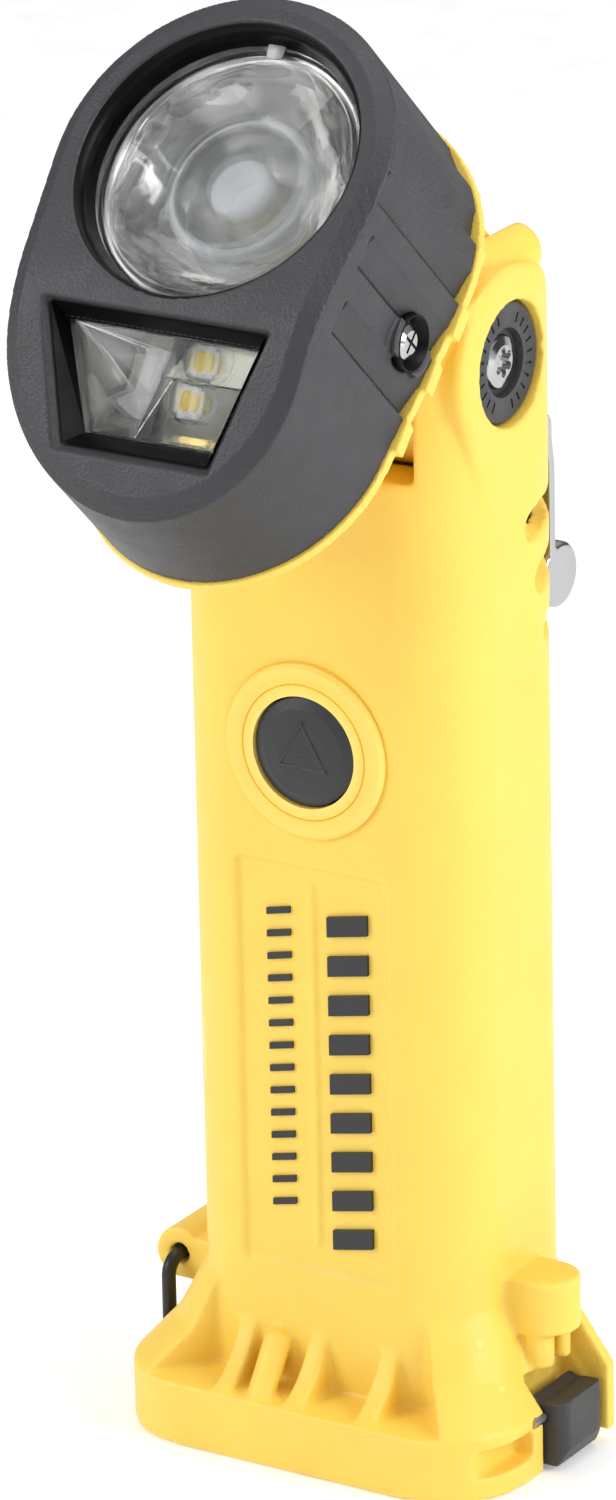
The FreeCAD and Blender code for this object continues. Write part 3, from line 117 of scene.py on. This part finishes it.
def add_lights():
    """Softboxes left, right, above and low in front, in a pale studio whose lower half is dim."""
    middle = (0, 0, 0.11)
    add_softbox("key_left", (-0.9, -0.9, 0.75), middle, (0.6, 0.9), 9.0)
    add_softbox("side_right", (1.1, 0.1, 0.6), middle, (0.5, 0.9), 9.5)
    add_softbox("top", (0.0, 0.2, 1.3), middle, (0.9, 0.7), 4.2)
    add_softbox("front_low", (0.2, -1.4, 0.45), middle, (0.9, 0.4), 1.6)
    world = bpy.data.worlds.new("studio")
    world.use_nodes = True
    tree = world.node_tree
    plain = tree.nodes["Background"]
    plain.inputs[0].default_value = (1, 1, 1, 1)
    plain.inputs[1].default_value = 1.0
    shaded = tree.nodes.new("ShaderNodeBackground")
    way = tree.nodes.new("ShaderNodeTexCoord")
    parts = tree.nodes.new("ShaderNodeSeparateXYZ")
    tree.links.new(way.outputs["Generated"], parts.inputs[0])
    ramp = tree.nodes.new("ShaderNodeValToRGB")
    ramp.color_ramp.elements[0].position = 0.0
    ramp.color_ramp.elements[0].color = (0.07, 0.07, 0.08, 1)
    ramp.color_ramp.elements[1].position = 0.65
    ramp.color_ramp.elements[1].color = (0.62, 0.63, 0.65, 1)
    tree.links.new(parts.outputs["Z"], ramp.inputs[0])
    tree.links.new(ramp.outputs[0], shaded.inputs[0])
    rays = tree.nodes.new("ShaderNodeLightPath")
    choose = tree.nodes.new("ShaderNodeMixShader")
    tree.links.new(rays.outputs["Is Camera Ray"], choose.inputs[0])
    tree.links.new(shaded.outputs[0], choose.inputs[1])
    tree.links.new(plain.outputs[0], choose.inputs[2])
    tree.links.new(choose.outputs[0], tree.nodes["World Output"].inputs[0])
    bpy.context.scene.world = world
    bpy.context.scene.view_settings.view_transform = "Standard"


def add_floor():
    mesh = bpy.data.meshes.new("floor")
    mesh.from_pydata([(-4, -4, 0), (4, -4, 0), (4, 4, 0), (-4, 4, 0)], [], [(0, 1, 2, 3)])
    floor = bpy.data.objects.new("floor", mesh)
    floor.location.z = -0.0002
    bpy.context.scene.collection.objects.link(floor)
    white = finish("floor_white", (0.92, 0.92, 0.92), 0.8)
    glow = white.node_tree.nodes["Principled BSDF"].inputs
    glow["Emission Color"].default_value = (1, 1, 1, 1)
    glow["Emission Strength"].default_value = 0.22
    mesh.materials.append(white)


# ---------------------------------------------------------------- materials

def add_noise(tree, size, detail=3.0, stretch=(1, 1, 1)):
    """Noise in the object's own metres, with features of about the given size in millimetres."""
    place = tree.nodes.new("ShaderNodeTexCoord")
    scale = tree.nodes.new("ShaderNodeMapping")
    scale.inputs["Scale"].default_value = stretch
    tree.links.new(place.outputs["Object"], scale.inputs["Vector"])
    texture = tree.nodes.new("ShaderNodeTexNoise")
    texture.inputs["Scale"].default_value = 1000.0 / size
    texture.inputs["Detail"].default_value = detail
    tree.links.new(scale.outputs["Vector"], texture.inputs["Vector"])
    return texture.outputs["Fac"]


def add_range(tree, value, low, high, source=(0.3, 0.7)):
    node = tree.nodes.new("ShaderNodeMapRange")
    node.inputs["From Min"].default_value, node.inputs["From Max"].default_value = source
    node.inputs["To Min"].default_value = low
    node.inputs["To Max"].default_value = high
    tree.links.new(value, node.inputs["Value"])
    return node.outputs["Result"]


def add_mix(tree, factor, first, second):
    node = tree.nodes.new("ShaderNodeMix")
    node.data_type = "RGBA"
    if isinstance(first, tuple):
        node.inputs["A"].default_value = (*first, 1)
    else:
        tree.links.new(first, node.inputs["A"])
    node.inputs["B"].default_value = (*second, 1)
    tree.links.new(factor, node.inputs["Factor"])
    return node.outputs["Result"]


def add_bump(tree, shader, height, strength, distance):
    node = tree.nodes.new("ShaderNodeBump")
    node.inputs["Strength"].default_value = strength
    node.inputs["Distance"].default_value = distance * MM
    tree.links.new(height, node.inputs["Height"])
    tree.links.new(node.outputs["Normal"], shader.inputs["Normal"])


def finish(name, color, roughness, grain=None, spread=0.05, shade=0.9, wear=None, **sockets):
    """Principled finish: grain = (size, strength, depth); the edge colour argument is a painted highlight
    laid on sharp edges.
    """
    material = bpy.data.materials.new(name)
    material.use_nodes = True
    tree = material.node_tree
    shader = tree.nodes["Principled BSDF"]
    for key, value in sockets.items():
        shader.inputs[key.replace("_", " ")].default_value = value
    # shade darkens noise patches: random tone on the plastics, a painted reflection on the bowl mirror
    patches = add_noise(tree, 14.0, 4.0)
    dark = tuple(channel * shade for channel in color)
    tone = add_mix(tree, add_range(tree, patches, 0.0, 1.0), color, dark)
    if wear is not None:
        # painted highlight: pointiness lightens sharp edges towards the edge colour
        shape = tree.nodes.new("ShaderNodeNewGeometry")
        edge_highlight_mask = add_range(tree, shape.outputs["Pointiness"], 0.0, 0.6, (0.52, 0.62))
        tone = add_mix(tree, edge_highlight_mask, tone, wear)
    tree.links.new(tone, shader.inputs["Base Color"])
    smears = add_noise(tree, 5.0, 5.0)
    polish = add_range(tree, smears, roughness - spread, roughness + spread)
    tree.links.new(polish, shader.inputs["Roughness"])
    if grain is not None:
        size, strength, depth = grain
        add_bump(tree, shader, add_noise(tree, size, 2.0), strength, depth)
    return material


MATERIALS = {}


def add_materials():
    make = {
        # painted highlight on the yellow nylon: its edge colour lightens sharp edges
        "yellow_nylon": dict(color=(0.95, 0.655, 0.10), roughness=0.44, grain=(0.5, 0.55, 0.14),
                             shade=0.955, wear=(0.98, 0.77, 0.22), Subsurface_Weight=0.06,
                             Subsurface_Radius=(0.004, 0.002, 0.0006)),
        # painted highlight on the black nylon: its edge colour lightens sharp edges
        "black_nylon": dict(color=(0.036, 0.037, 0.041), roughness=0.46, grain=(0.42, 0.8, 0.16),
                            shade=0.82, wear=(0.085, 0.085, 0.09)),
        "black_ink": dict(color=(0.02, 0.02, 0.021), roughness=0.40, grain=(0.4, 0.2, 0.05)),
        "black_rubber": dict(color=(0.022, 0.022, 0.024), roughness=0.42, grain=(0.35, 0.35, 0.08)),
        "black_wire": dict(color=(0.02, 0.02, 0.02), roughness=0.35, grain=(1.0, 0.2, 0.05), Metallic=0.3),
        "polished_steel": dict(color=(0.50, 0.50, 0.50), roughness=0.12, grain=(1.6, 0.10, 0.05),
                               Metallic=1.0),
        "plain_steel": dict(color=(0.55, 0.55, 0.56), roughness=0.34, grain=(0.5, 0.2, 0.05), Metallic=1.0),
        "clear_plastic": dict(color=(0.97, 0.98, 0.985), roughness=0.03, spread=0.01, shade=0.99,
                              Transmission_Weight=1.0, IOR=1.45, Alpha=0.35),
        "frosted_plastic": dict(color=(0.80, 0.82, 0.83), roughness=0.35, shade=0.97,
                                Transmission_Weight=0.25, IOR=1.45),
        # painted shade: this near-black gloss darkens the recess walls and the screw wells
        "black_gloss": dict(color=(0.004, 0.004, 0.0045), roughness=0.34, spread=0.06,
                            grain=(1.2, 0.1, 0.05), Specular_IOR_Level=0.12),
        "satin_mirror": dict(color=(0.25, 0.255, 0.21), roughness=0.2, grain=(1.8, 0.2, 0.08), shade=0.7,
                             Metallic=1.0),
        "folded_mirror": dict(color=(0.44, 0.44, 0.40), roughness=0.08, spread=0.03, grain=(3.0, 0.2, 0.1),
                              shade=0.6, Metallic=1.0),
        # painted reflection: the bowl mirror's strong dark colour mottle stands in for reflected
        # surroundings
        "bowl_mirror": dict(color=(0.92, 0.92, 0.89), roughness=0.05, spread=0.03, grain=(4.5, 0.35, 0.3),
                            shade=0.5, Metallic=1.0),
        "bright_mirror": dict(color=(0.90, 0.90, 0.91), roughness=0.07, spread=0.03,
                              grain=(2.2, 0.25, 0.12), shade=0.97, Metallic=1.0),
        "led_yellow": dict(color=(0.93, 0.70, 0.10), roughness=0.35, grain=(0.3, 0.3, 0.03)),
        "circuit_board": dict(color=(0.82, 0.83, 0.81), roughness=0.35),
        "aluminium": dict(color=(0.6, 0.61, 0.62), roughness=0.35, Metallic=1.0),
        "brass": dict(color=(0.72, 0.53, 0.2), roughness=0.3, Metallic=1.0),
        "cell_wrap": dict(color=(0.03, 0.1, 0.33), roughness=0.3),
        "grey_plastic": dict(color=(0.06, 0.06, 0.065), roughness=0.5, grain=(0.5, 0.2, 0.05)),
    }
    make["yellow_door"] = make["yellow_nylon"]
    for name, values in make.items():
        MATERIALS[name] = finish(name, **values)
    for node, piece in NODES.items():
        dress(piece, SLOT_OF[node])


def dress(piece, slot):
    """Gives every material slot of a piece the finish of one of the record's slots."""
    if not piece.material_slots:
        piece.data.materials.append(MATERIALS[slot])
    for entry in piece.material_slots:
        entry.link = "OBJECT"
        entry.material = MATERIALS[slot]


# ---------------------------------------------------------------- pieces

def add_piece(name, mesh, body, slot, replaced=(), place=Matrix.Identity(4)):
    """A new piece of the object that rides on a body and stands for the CAD nodes named."""
    piece = bpy.data.objects.new(name, mesh)
    bpy.context.scene.collection.objects.link(piece)
    piece.matrix_world = place
    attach(piece, body)
    if replaced:
        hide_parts(*replaced)
    dress(piece, slot)
    return piece


def repaint(piece, finish_name):
    """A shade of the slot's finish that this one piece needs."""
    for entry in piece.material_slots:
        entry.material = MATERIALS[finish_name]
    return piece


def settled(mesh, name):
    """The mesh after its object's modifiers, as a mesh of its own."""
    graph = bpy.context.evaluated_depsgraph_get()
    made = bpy.data.meshes.new_from_object(mesh.evaluated_get(graph))
    made.name = name
    return made


def moulded(name, node, voxel, passes):
    """Copy of a CAD node with its edges and inner corners rounded as a mould leaves them."""
    mesh = NODES[node].data.copy()
    worker = bpy.data.objects.new(name + "_worker", mesh)
    bpy.context.scene.collection.objects.link(worker)
    remesh = worker.modifiers.new("skin", "REMESH")
    remesh.mode = "VOXEL"
    remesh.voxel_size = voxel * MM
    soften = worker.modifiers.new("soften", "SMOOTH")
    soften.factor = 0.5
    soften.iterations = passes
    made = settled(worker, name)
    bpy.data.objects.remove(worker)
    for polygon in made.polygons:
        polygon.use_smooth = True
    return add_piece(name, made, BODY_OF[node], SLOT_OF[node], [node])


def add_moulded_parts():
    moulded("moulded_handle", "handle_housing", 0.42, 6)
    moulded("moulded_bezel", "head_bezel", 0.24, 3)
    moulded("moulded_neck", "head_housing", 0.27, 3)
    moulded("moulded_door", "tail_door", 0.3, 3)
    moulded("moulded_latch", "latch_lever", 0.25, 4)
    moulded("moulded_clip", "spring_clip", 0.25, 10)
    moulded("moulded_ring", "d_ring", 0.2, 4)


def spun(profile, steps=96, close=False, wobble=None):
    """Mesh turned round local Z from (radius, height) points in millimetres."""
    maker = bmesh.new()
    rings = []
    for radius, height in profile:
        if radius < 1e-6:
            rings.append([maker.verts.new((0, 0, height * MM))])
            continue
        ring = []
        for step in range(steps):
            angle = 2 * math.pi * step / steps
            reach = radius + (wobble(angle, height) if wobble else 0)
            place = Vector((reach * math.cos(angle), reach * math.sin(angle), height))
            ring.append(maker.verts.new(place * MM))
        rings.append(ring)
    pairs = list(zip(rings, rings[1:]))
    if close:
        pairs.append((rings[-1], rings[0]))
    for first, second in pairs:
        for step in range(steps):
            following = (step + 1) % steps
            corners = [first[step % len(first)], first[following % len(first)],
                       second[following % len(second)], second[step % len(second)]]
            unique = list(dict.fromkeys(corners))
            if len(unique) > 2:
                maker.faces.new(unique)
    bmesh.ops.recalc_face_normals(maker, faces=maker.faces)
    return finished(maker, "turned")


def finished(maker, name, smooth=True):
    mesh = bpy.data.meshes.new(name)
    maker.to_mesh(mesh)
    maker.free()
    for polygon in mesh.polygons:
        polygon.use_smooth = smooth
    return mesh


def sharpened(piece, degrees=35):
    """Marks edges sharper than the angle so that faces beside them shade apart."""
    maker = bmesh.new()
    maker.from_mesh(piece.data)
    limit = math.radians(degrees)
    for edge in maker.edges:
        if len(edge.link_faces) == 2 and edge.calc_face_angle(0) > limit:
            edge.smooth = False
    maker.to_mesh(piece.data)
    maker.free()
    return piece


# ---------------------------------------------------------------- spot and flood optics

def add_spot_window():
    """Lens with its raised rim and the small moulded tab at its top."""
    low = LENS_TOP - 1.5
    lens = [(0, LENS_TOP - 0.6), (18.2, LENS_TOP - 0.6), (18.6, LENS_TOP - 0.35),
            (18.9, LENS_TOP - 0.02), (19.9, LENS_TOP), (20.1, LENS_TOP - 0.2), (20.1, low), (0, low)]
    sharpened(add_piece("spot_window", spun(lens, 128), "head", "clear_plastic", ["spot_lens"], HEAD))
    tab = bmesh.new()
    bmesh.ops.create_cube(tab, size=1.0)
    for vertex in tab.verts:
        spread = 1.5 if vertex.co.y > 0 else 1.0
        vertex.co = Vector((vertex.co.x * 2 * spread, 19.3 + vertex.co.y * 2.2,
                            LENS_TOP + vertex.co.z)) * MM
    bmesh.ops.bevel(tab, geom=tab.edges[:], offset=0.25 * MM, segments=3, affect="EDGES")
    piece = add_piece("spot_window_tab", finished(tab, "tab"), "head", "clear_plastic", [], HEAD)
    repaint(piece, "frosted_plastic")


def add_spot_bowl():
    """Bowl reflector with a thin wall, open behind for the optic."""
    steps, neck, spread, depth = 32, 6.2, 13.2, 13.0
    bowl = []
    for step in range(steps + 1):
        share = step / steps
        bowl.append((neck + spread * share, BOWL_TOP - depth * (1 - share ** 2)))
    bowl += [(20.0, BOWL_TOP), (20.0, BOWL_TOP - 1.0), (6.6, BOWL_TOP - 14.0), (neck, BOWL_TOP - 14.0)]
    piece = add_piece("spot_bowl", spun(bowl, 160, True, bowl_wobble), "head", "bright_mirror",
                      ["spot_reflector"], HEAD)
    repaint(piece, "bowl_mirror")


def add_spot_optic():
    """Clear cone with a stepped crown, a frosted nose in its middle and a frosted collar."""
    crown = OPTIC_CROWN
    cup = [(9.9, crown), (9.9, crown - 1.2), (8.8, crown - 3.6), (6.9, crown - 7.2), (4.6, crown - 9.8),
           (2.6, crown - 9.9), (2.4, crown - 7.0), (0, crown - 6.6)]
    inside = [(0, crown - 2.2), (4.6, crown - 2.2), (5.0, crown - 1.9), (7.3, crown - 1.0),
              (8.9, crown - 0.1), (9.4, crown + 0.05)]
    sharpened(add_piece("spot_cone", spun(cup[::-1] + inside, 96), "head",
                        "clear_plastic", ["spot_optic"], HEAD))
    nose = [(0, crown - 0.5), (3.6, crown - 0.62), (4.6, crown - 0.9), (4.9, crown - 1.4),
            (4.9, crown - 2.1), (0, crown - 2.1)]
    piece = add_piece("spot_nose", spun(nose, 64), "head", "clear_plastic", [], HEAD)
    repaint(piece, "frosted_plastic")
    collar = [(9.9, crown - 0.2), (10.9, crown - 0.6), (11.4, crown - 1.6),
              (11.0, crown - 2.2), (9.9, crown - 2.4)]
    piece = add_piece("spot_collar", spun(collar, 96, True), "head", "clear_plastic", [], HEAD)
    repaint(piece, "frosted_plastic")


def add_recess_painted_shade():
    """Painted shade: deep black gloss sheets on the walls of the two window recesses, darkening them where
    shade falls.
    """
    bore = [(20.12, LENS_TOP - 0.1), (21.5, FACE - 0.4), (21.9, FACE - 0.4), (20.6, LENS_TOP - 0.1)]
    piece = add_piece("spot_bore_painted_shade", spun(bore, 128, True), "head", "black_nylon", [], HEAD)
    repaint(piece, "black_gloss")
    inner = [(-15.9, -4.05), (15.9, -4.05), (10.25, -19.25), (-10.25, -19.25)]
    outer = [(-17.6, -2.0), (17.6, -2.0), (11.7, -21.1), (-11.7, -21.1)]
    points = [(x, y, -4.0) for x, y in inner] + [(x, y, -1.0) for x, y in outer]
    faces = [(index, (index + 1) % 4, (index + 1) % 4 + 4, index + 4) for index in range(4)]
    shade_sheet = faceted("flood_recess_painted_shade", points, faces)
    piece = add_piece("flood_recess_painted_shade", shade_sheet, "head", "black_nylon", [], FLOOD)
    repaint(piece, "black_gloss")


def bowl_wobble(angle, height):
    """Faint flutes that break the reflector's image into swirls."""
    depth = BOWL_TOP - height
    if depth < 0.4:
        return 0
    return 0.13 * math.sin(5 * angle + depth * 0.7) + 0.05 * math.sin(12 * angle - depth * 0.9)


def filled_plate(name, outline, holes, thickness):
    """Flat plate in local XY with round holes, given in millimetres."""
    curve = bpy.data.curves.new(name, "CURVE")
    curve.dimensions = "2D"
    curve.fill_mode = "BOTH"
    curve.extrude = thickness / 2 * MM
    loops = [outline]
    for x, y, radius in holes:
        angles = [math.radians(10 * step) for step in range(36)]
        loops.append([(x + radius * math.cos(angle), y + radius * math.sin(angle)) for angle in angles])
    for loop in loops:
        spline = curve.splines.new("POLY")
        spline.points.add(len(loop) - 1)
        for point, (x, y) in zip(spline.points, loop):
            point.co = (x * MM, y * MM, 0, 1)
        spline.use_cyclic_u = True
    worker = bpy.data.objects.new(name + "_worker", curve)
    bpy.context.scene.collection.objects.link(worker)
    mesh = settled(worker, name)
    bpy.data.objects.remove(worker)
    return mesh


def faceted(name, points, faces):
    """Flat-shaded mesh from points in millimetres."""
    mesh = bpy.data.meshes.new(name)
    mesh.from_pydata([Vector(point) * MM for point in points], [], faces)
    return mesh


def thin_bars(name, runs, width):
    """Fine square bars between pairs of points in millimetres."""
    maker = bmesh.new()
    for start, end in runs:
        start, end = Vector(start), Vector(end)
        turn = (end - start).to_track_quat("Z", "Y").to_matrix()
        for vertex in bmesh.ops.create_cube(maker, size=1.0)["verts"]:
            along = vertex.co.z * (end - start).length
            local = Vector((vertex.co.x * width, vertex.co.y * width, along))
            vertex.co = (turn @ local + (start + end) / 2) * MM
    return finished(maker, name, False)


def rounded_block(half_x, half_y, low, high, corner, middle=(0, 0)):
    """Block with round upright corners and a soft top edge."""
    maker = bmesh.new()
    bmesh.ops.create_cube(maker, size=1.0)
    for vertex in maker.verts:
        vertex.co = Vector((middle[0] + vertex.co.x * 2 * half_x, middle[1] + vertex.co.y * 2 * half_y,
                            low + (vertex.co.z + 0.5) * (high - low))) * MM
    upright = [edge for edge in maker.edges if abs(edge.verts[0].co.z - edge.verts[1].co.z) > 1e-6]
    bmesh.ops.bevel(maker, geom=upright, offset=corner * MM, segments=6, affect="EDGES")
    top = max(vertex.co.z for vertex in maker.verts)
    brim = [edge for edge in maker.edges if min(v.co.z for v in edge.verts) > top - 1e-7]
    softness = min(corner, high - low) * 0.35 * MM
    bmesh.ops.bevel(maker, geom=brim, offset=softness, segments=3, affect="EDGES")
    return maker


def add_flood_window():
    outline = [(-15.9, -4.0), (15.9, -4.0), (10.3, -19.2), (-10.3, -19.2)]
    place = FLOOD @ Matrix.Translation((0, 0, FLOOD_PANE_MIDDLE * MM))
    pane = filled_plate("flood_window", outline, [], 1.4)
    sharpened(add_piece("flood_window", pane, "head", "clear_plastic", ["flood_lens"], place))


def add_flood_mirror():
    """Folded mirror on the left of the flood window, with a painted highlight along each fold: a thin
    bright mirror bar laid on it.
    """
    rim = FLOOD_RIM
    points = [(-15.4, -4.3, rim), (0.6, -4.3, rim), (-3.6, -18.9, rim), (-10.0, -18.9, rim),
              (-10.8, -8.2, -8.0), (-4.6, -6.8, -12.4), (-9.9, -14.4, -11.2),
              (-5.6, -15.2, -12.8), (-2.6, -10.2, -9.0)]
    faces = [(0, 1, 5), (0, 5, 4), (0, 4, 6), (0, 6, 3), (4, 5, 7), (4, 7, 6), (6, 7, 3),
             (3, 7, 2), (2, 7, 8), (5, 8, 7), (5, 1, 8)]
    piece = add_piece("flood_mirror", faceted("flood_mirror", points, faces), "head", "bright_mirror",
                      ["flood_reflector"], FLOOD)
    repaint(piece, "folded_mirror")
    # painted highlight: thin bright bars along the folds stand in for glints on the fold edges
    folds = [(0, 5), (4, 5), (0, 4), (5, 7), (4, 7), (3, 7), (1, 5), (5, 8), (8, 2)]
    edges = [(points[first], points[second]) for first, second in folds]
    add_piece("flood_fold_highlights", thin_bars("flood_fold_highlights", edges, 0.16), "head", "bright_mirror", [], FLOOD)


def add_flood_decks():
    """Two tilted mirror plates, each with a round cut-out and a clear collar round its LED."""
    upper = [(0.9, -4.2), (15.2, -4.2), (12.9, -9.7), (-1.5, -9.7)]
    lower = [(-1.6, -10.0), (12.7, -10.0), (10.0, -19.0), (-3.3, -19.0)]
    rows = zip((upper, lower), LED_SPOTS, (-4, 5))
    for number, (outline, (x, y), lean) in enumerate(rows, 1):
        place = FLOOD @ Matrix.Translation((0, y * MM, (FLOOD_BOARD + 1.5) * MM))
        place = place @ Matrix.Rotation(math.radians(lean), 4, "X")
        flat = [(across, along - y) for across, along in outline]
        plate = filled_plate("flood_deck", flat, [(x, 0, LED_CUTOUT)], 0.5)
        deck = add_piece("flood_deck_%d" % number, plate, "head", "bright_mirror", [], place)
        repaint(deck, "satin_mirror")
        collar = spun([(LED_CUTOUT, 0.55), (3.5, 0.5), (3.7, 0.2), (3.6, -0.2), (LED_CUTOUT, -0.9)],
                      48, True)
        add_piece("flood_collar_%d" % number, collar, "head", "clear_plastic", [],
                  place @ Matrix.Translation((x * MM, 0, 0)))


def add_flood_walls():
    """Mirror walls beside and between the two halves of the flood optic."""
    rim, foot = FLOOD_RIM, FLOOD_BOARD + 1
    points = [(15.4, -4.3, rim), (10.0, -18.9, rim), (9.8, -18.7, foot), (15.0, -4.5, foot),
              (0.6, -4.3, rim), (0.9, -4.5, foot), (-3.6, -18.9, rim), (-3.3, -18.7, foot)]
    sides = [(0, 1, 2, 3), (4, 0, 3, 5), (1, 6, 7, 2)]
    walls = faceted("flood_walls", points, sides)
    repaint(add_piece("flood_walls", walls, "head", "bright_mirror", [], FLOOD), "satin_mirror")


def add_flood_leds():
    """White LED packages with their yellow phosphor, and one brass contact below them."""
    chips, glows = bmesh.new(), bmesh.new()
    package = ((chips, LED_HALF, 0.2, 1.3, 0.7), (glows, GLOW_HALF, 1.2, 1.5, 0.4))
    for x, y in LED_SPOTS:
        for target, half, low, high, corner in package:
            block = rounded_block(half, half, FLOOD_BOARD + low, FLOOD_BOARD + high, corner, (x, y))
            part = bpy.data.meshes.new("led")
            block.to_mesh(part)
            block.free()
            target.from_mesh(part)
    add_piece("flood_chips", finished(chips, "chips", False), "head", "circuit_board", [], FLOOD)
    add_piece("flood_glows", finished(glows, "glows", False), "head", "led_yellow", ["flood_leds"], FLOOD)
    strip = rounded_block(2.4, 0.5, FLOOD_RIM - 3.6, FLOOD_RIM - 3.0, 0.3, (4.2, -18.0))
    add_piece("flood_contact", finished(strip, "contact", False), "head", "brass", [], FLOOD)


def add_screw_well_painted_shade():
    """Painted shade: deep black gloss linings in the wells round the bezel's two side screws, darkening
    them where shade falls.
    """
    shade_profile = [(4.05, 0.02), (4.05, 1.72), (3.85, 1.74), (3.7, 0.3), (2.9, 0.12), (2.9, 0.02)]
    for side, name in ((1, "left"), (-1, "right")):
        seat = Vector((side * SCREW_WELL_FLOOR, -SCREW_DROP, SCREW_REACH)) * MM
        place = HEAD @ Matrix.Translation(seat) @ Matrix.Rotation(side * math.pi / 2, 4, "Y")
        shade_sheet = spun(shade_profile, 64, True)
        repaint(add_piece("screw_well_painted_shade_" + name, shade_sheet, "head", "black_nylon", [], place), "black_gloss")


def add_flood_teeth():
    """Rows of fine teeth along the walls of the flood recess."""
    pitch, width, height = 0.95, 0.5, 0.9
    teeth = bmesh.new()
    corners = [(-16.6, -3.5), (16.6, -3.5), (10.8, -19.8), (-10.8, -19.8)]
    for (x0, y0), (x1, y1) in zip(corners, corners[1:] + corners[:1]):
        run = Vector((x1 - x0, y1 - y0))
        count = int(run.length / pitch)
        for step in range(count):
            share = (step + 0.5) / count
            middle = (x0 + run.x * share, y0 + run.y * share)
            tooth = bmesh.ops.create_cube(teeth, size=1.0)["verts"]
            for vertex in tooth:
                vertex.co = Vector((middle[0] + vertex.co.x * width, middle[1] + vertex.co.y * width,
                                    -3.9 + vertex.co.z * height)) * MM
    add_piece("flood_teeth", finished(teeth, "teeth", False), "head", "black_nylon", [], FLOOD)


add_materials()
add_camera()
add_lights()
add_floor()
add_moulded_parts()
add_spot_window()
add_spot_bowl()
add_spot_optic()
add_recess_painted_shade()
add_flood_window()
add_flood_mirror()
add_flood_decks()
add_flood_walls()
add_flood_leds()
add_flood_teeth()
add_screw_well_painted_shade()
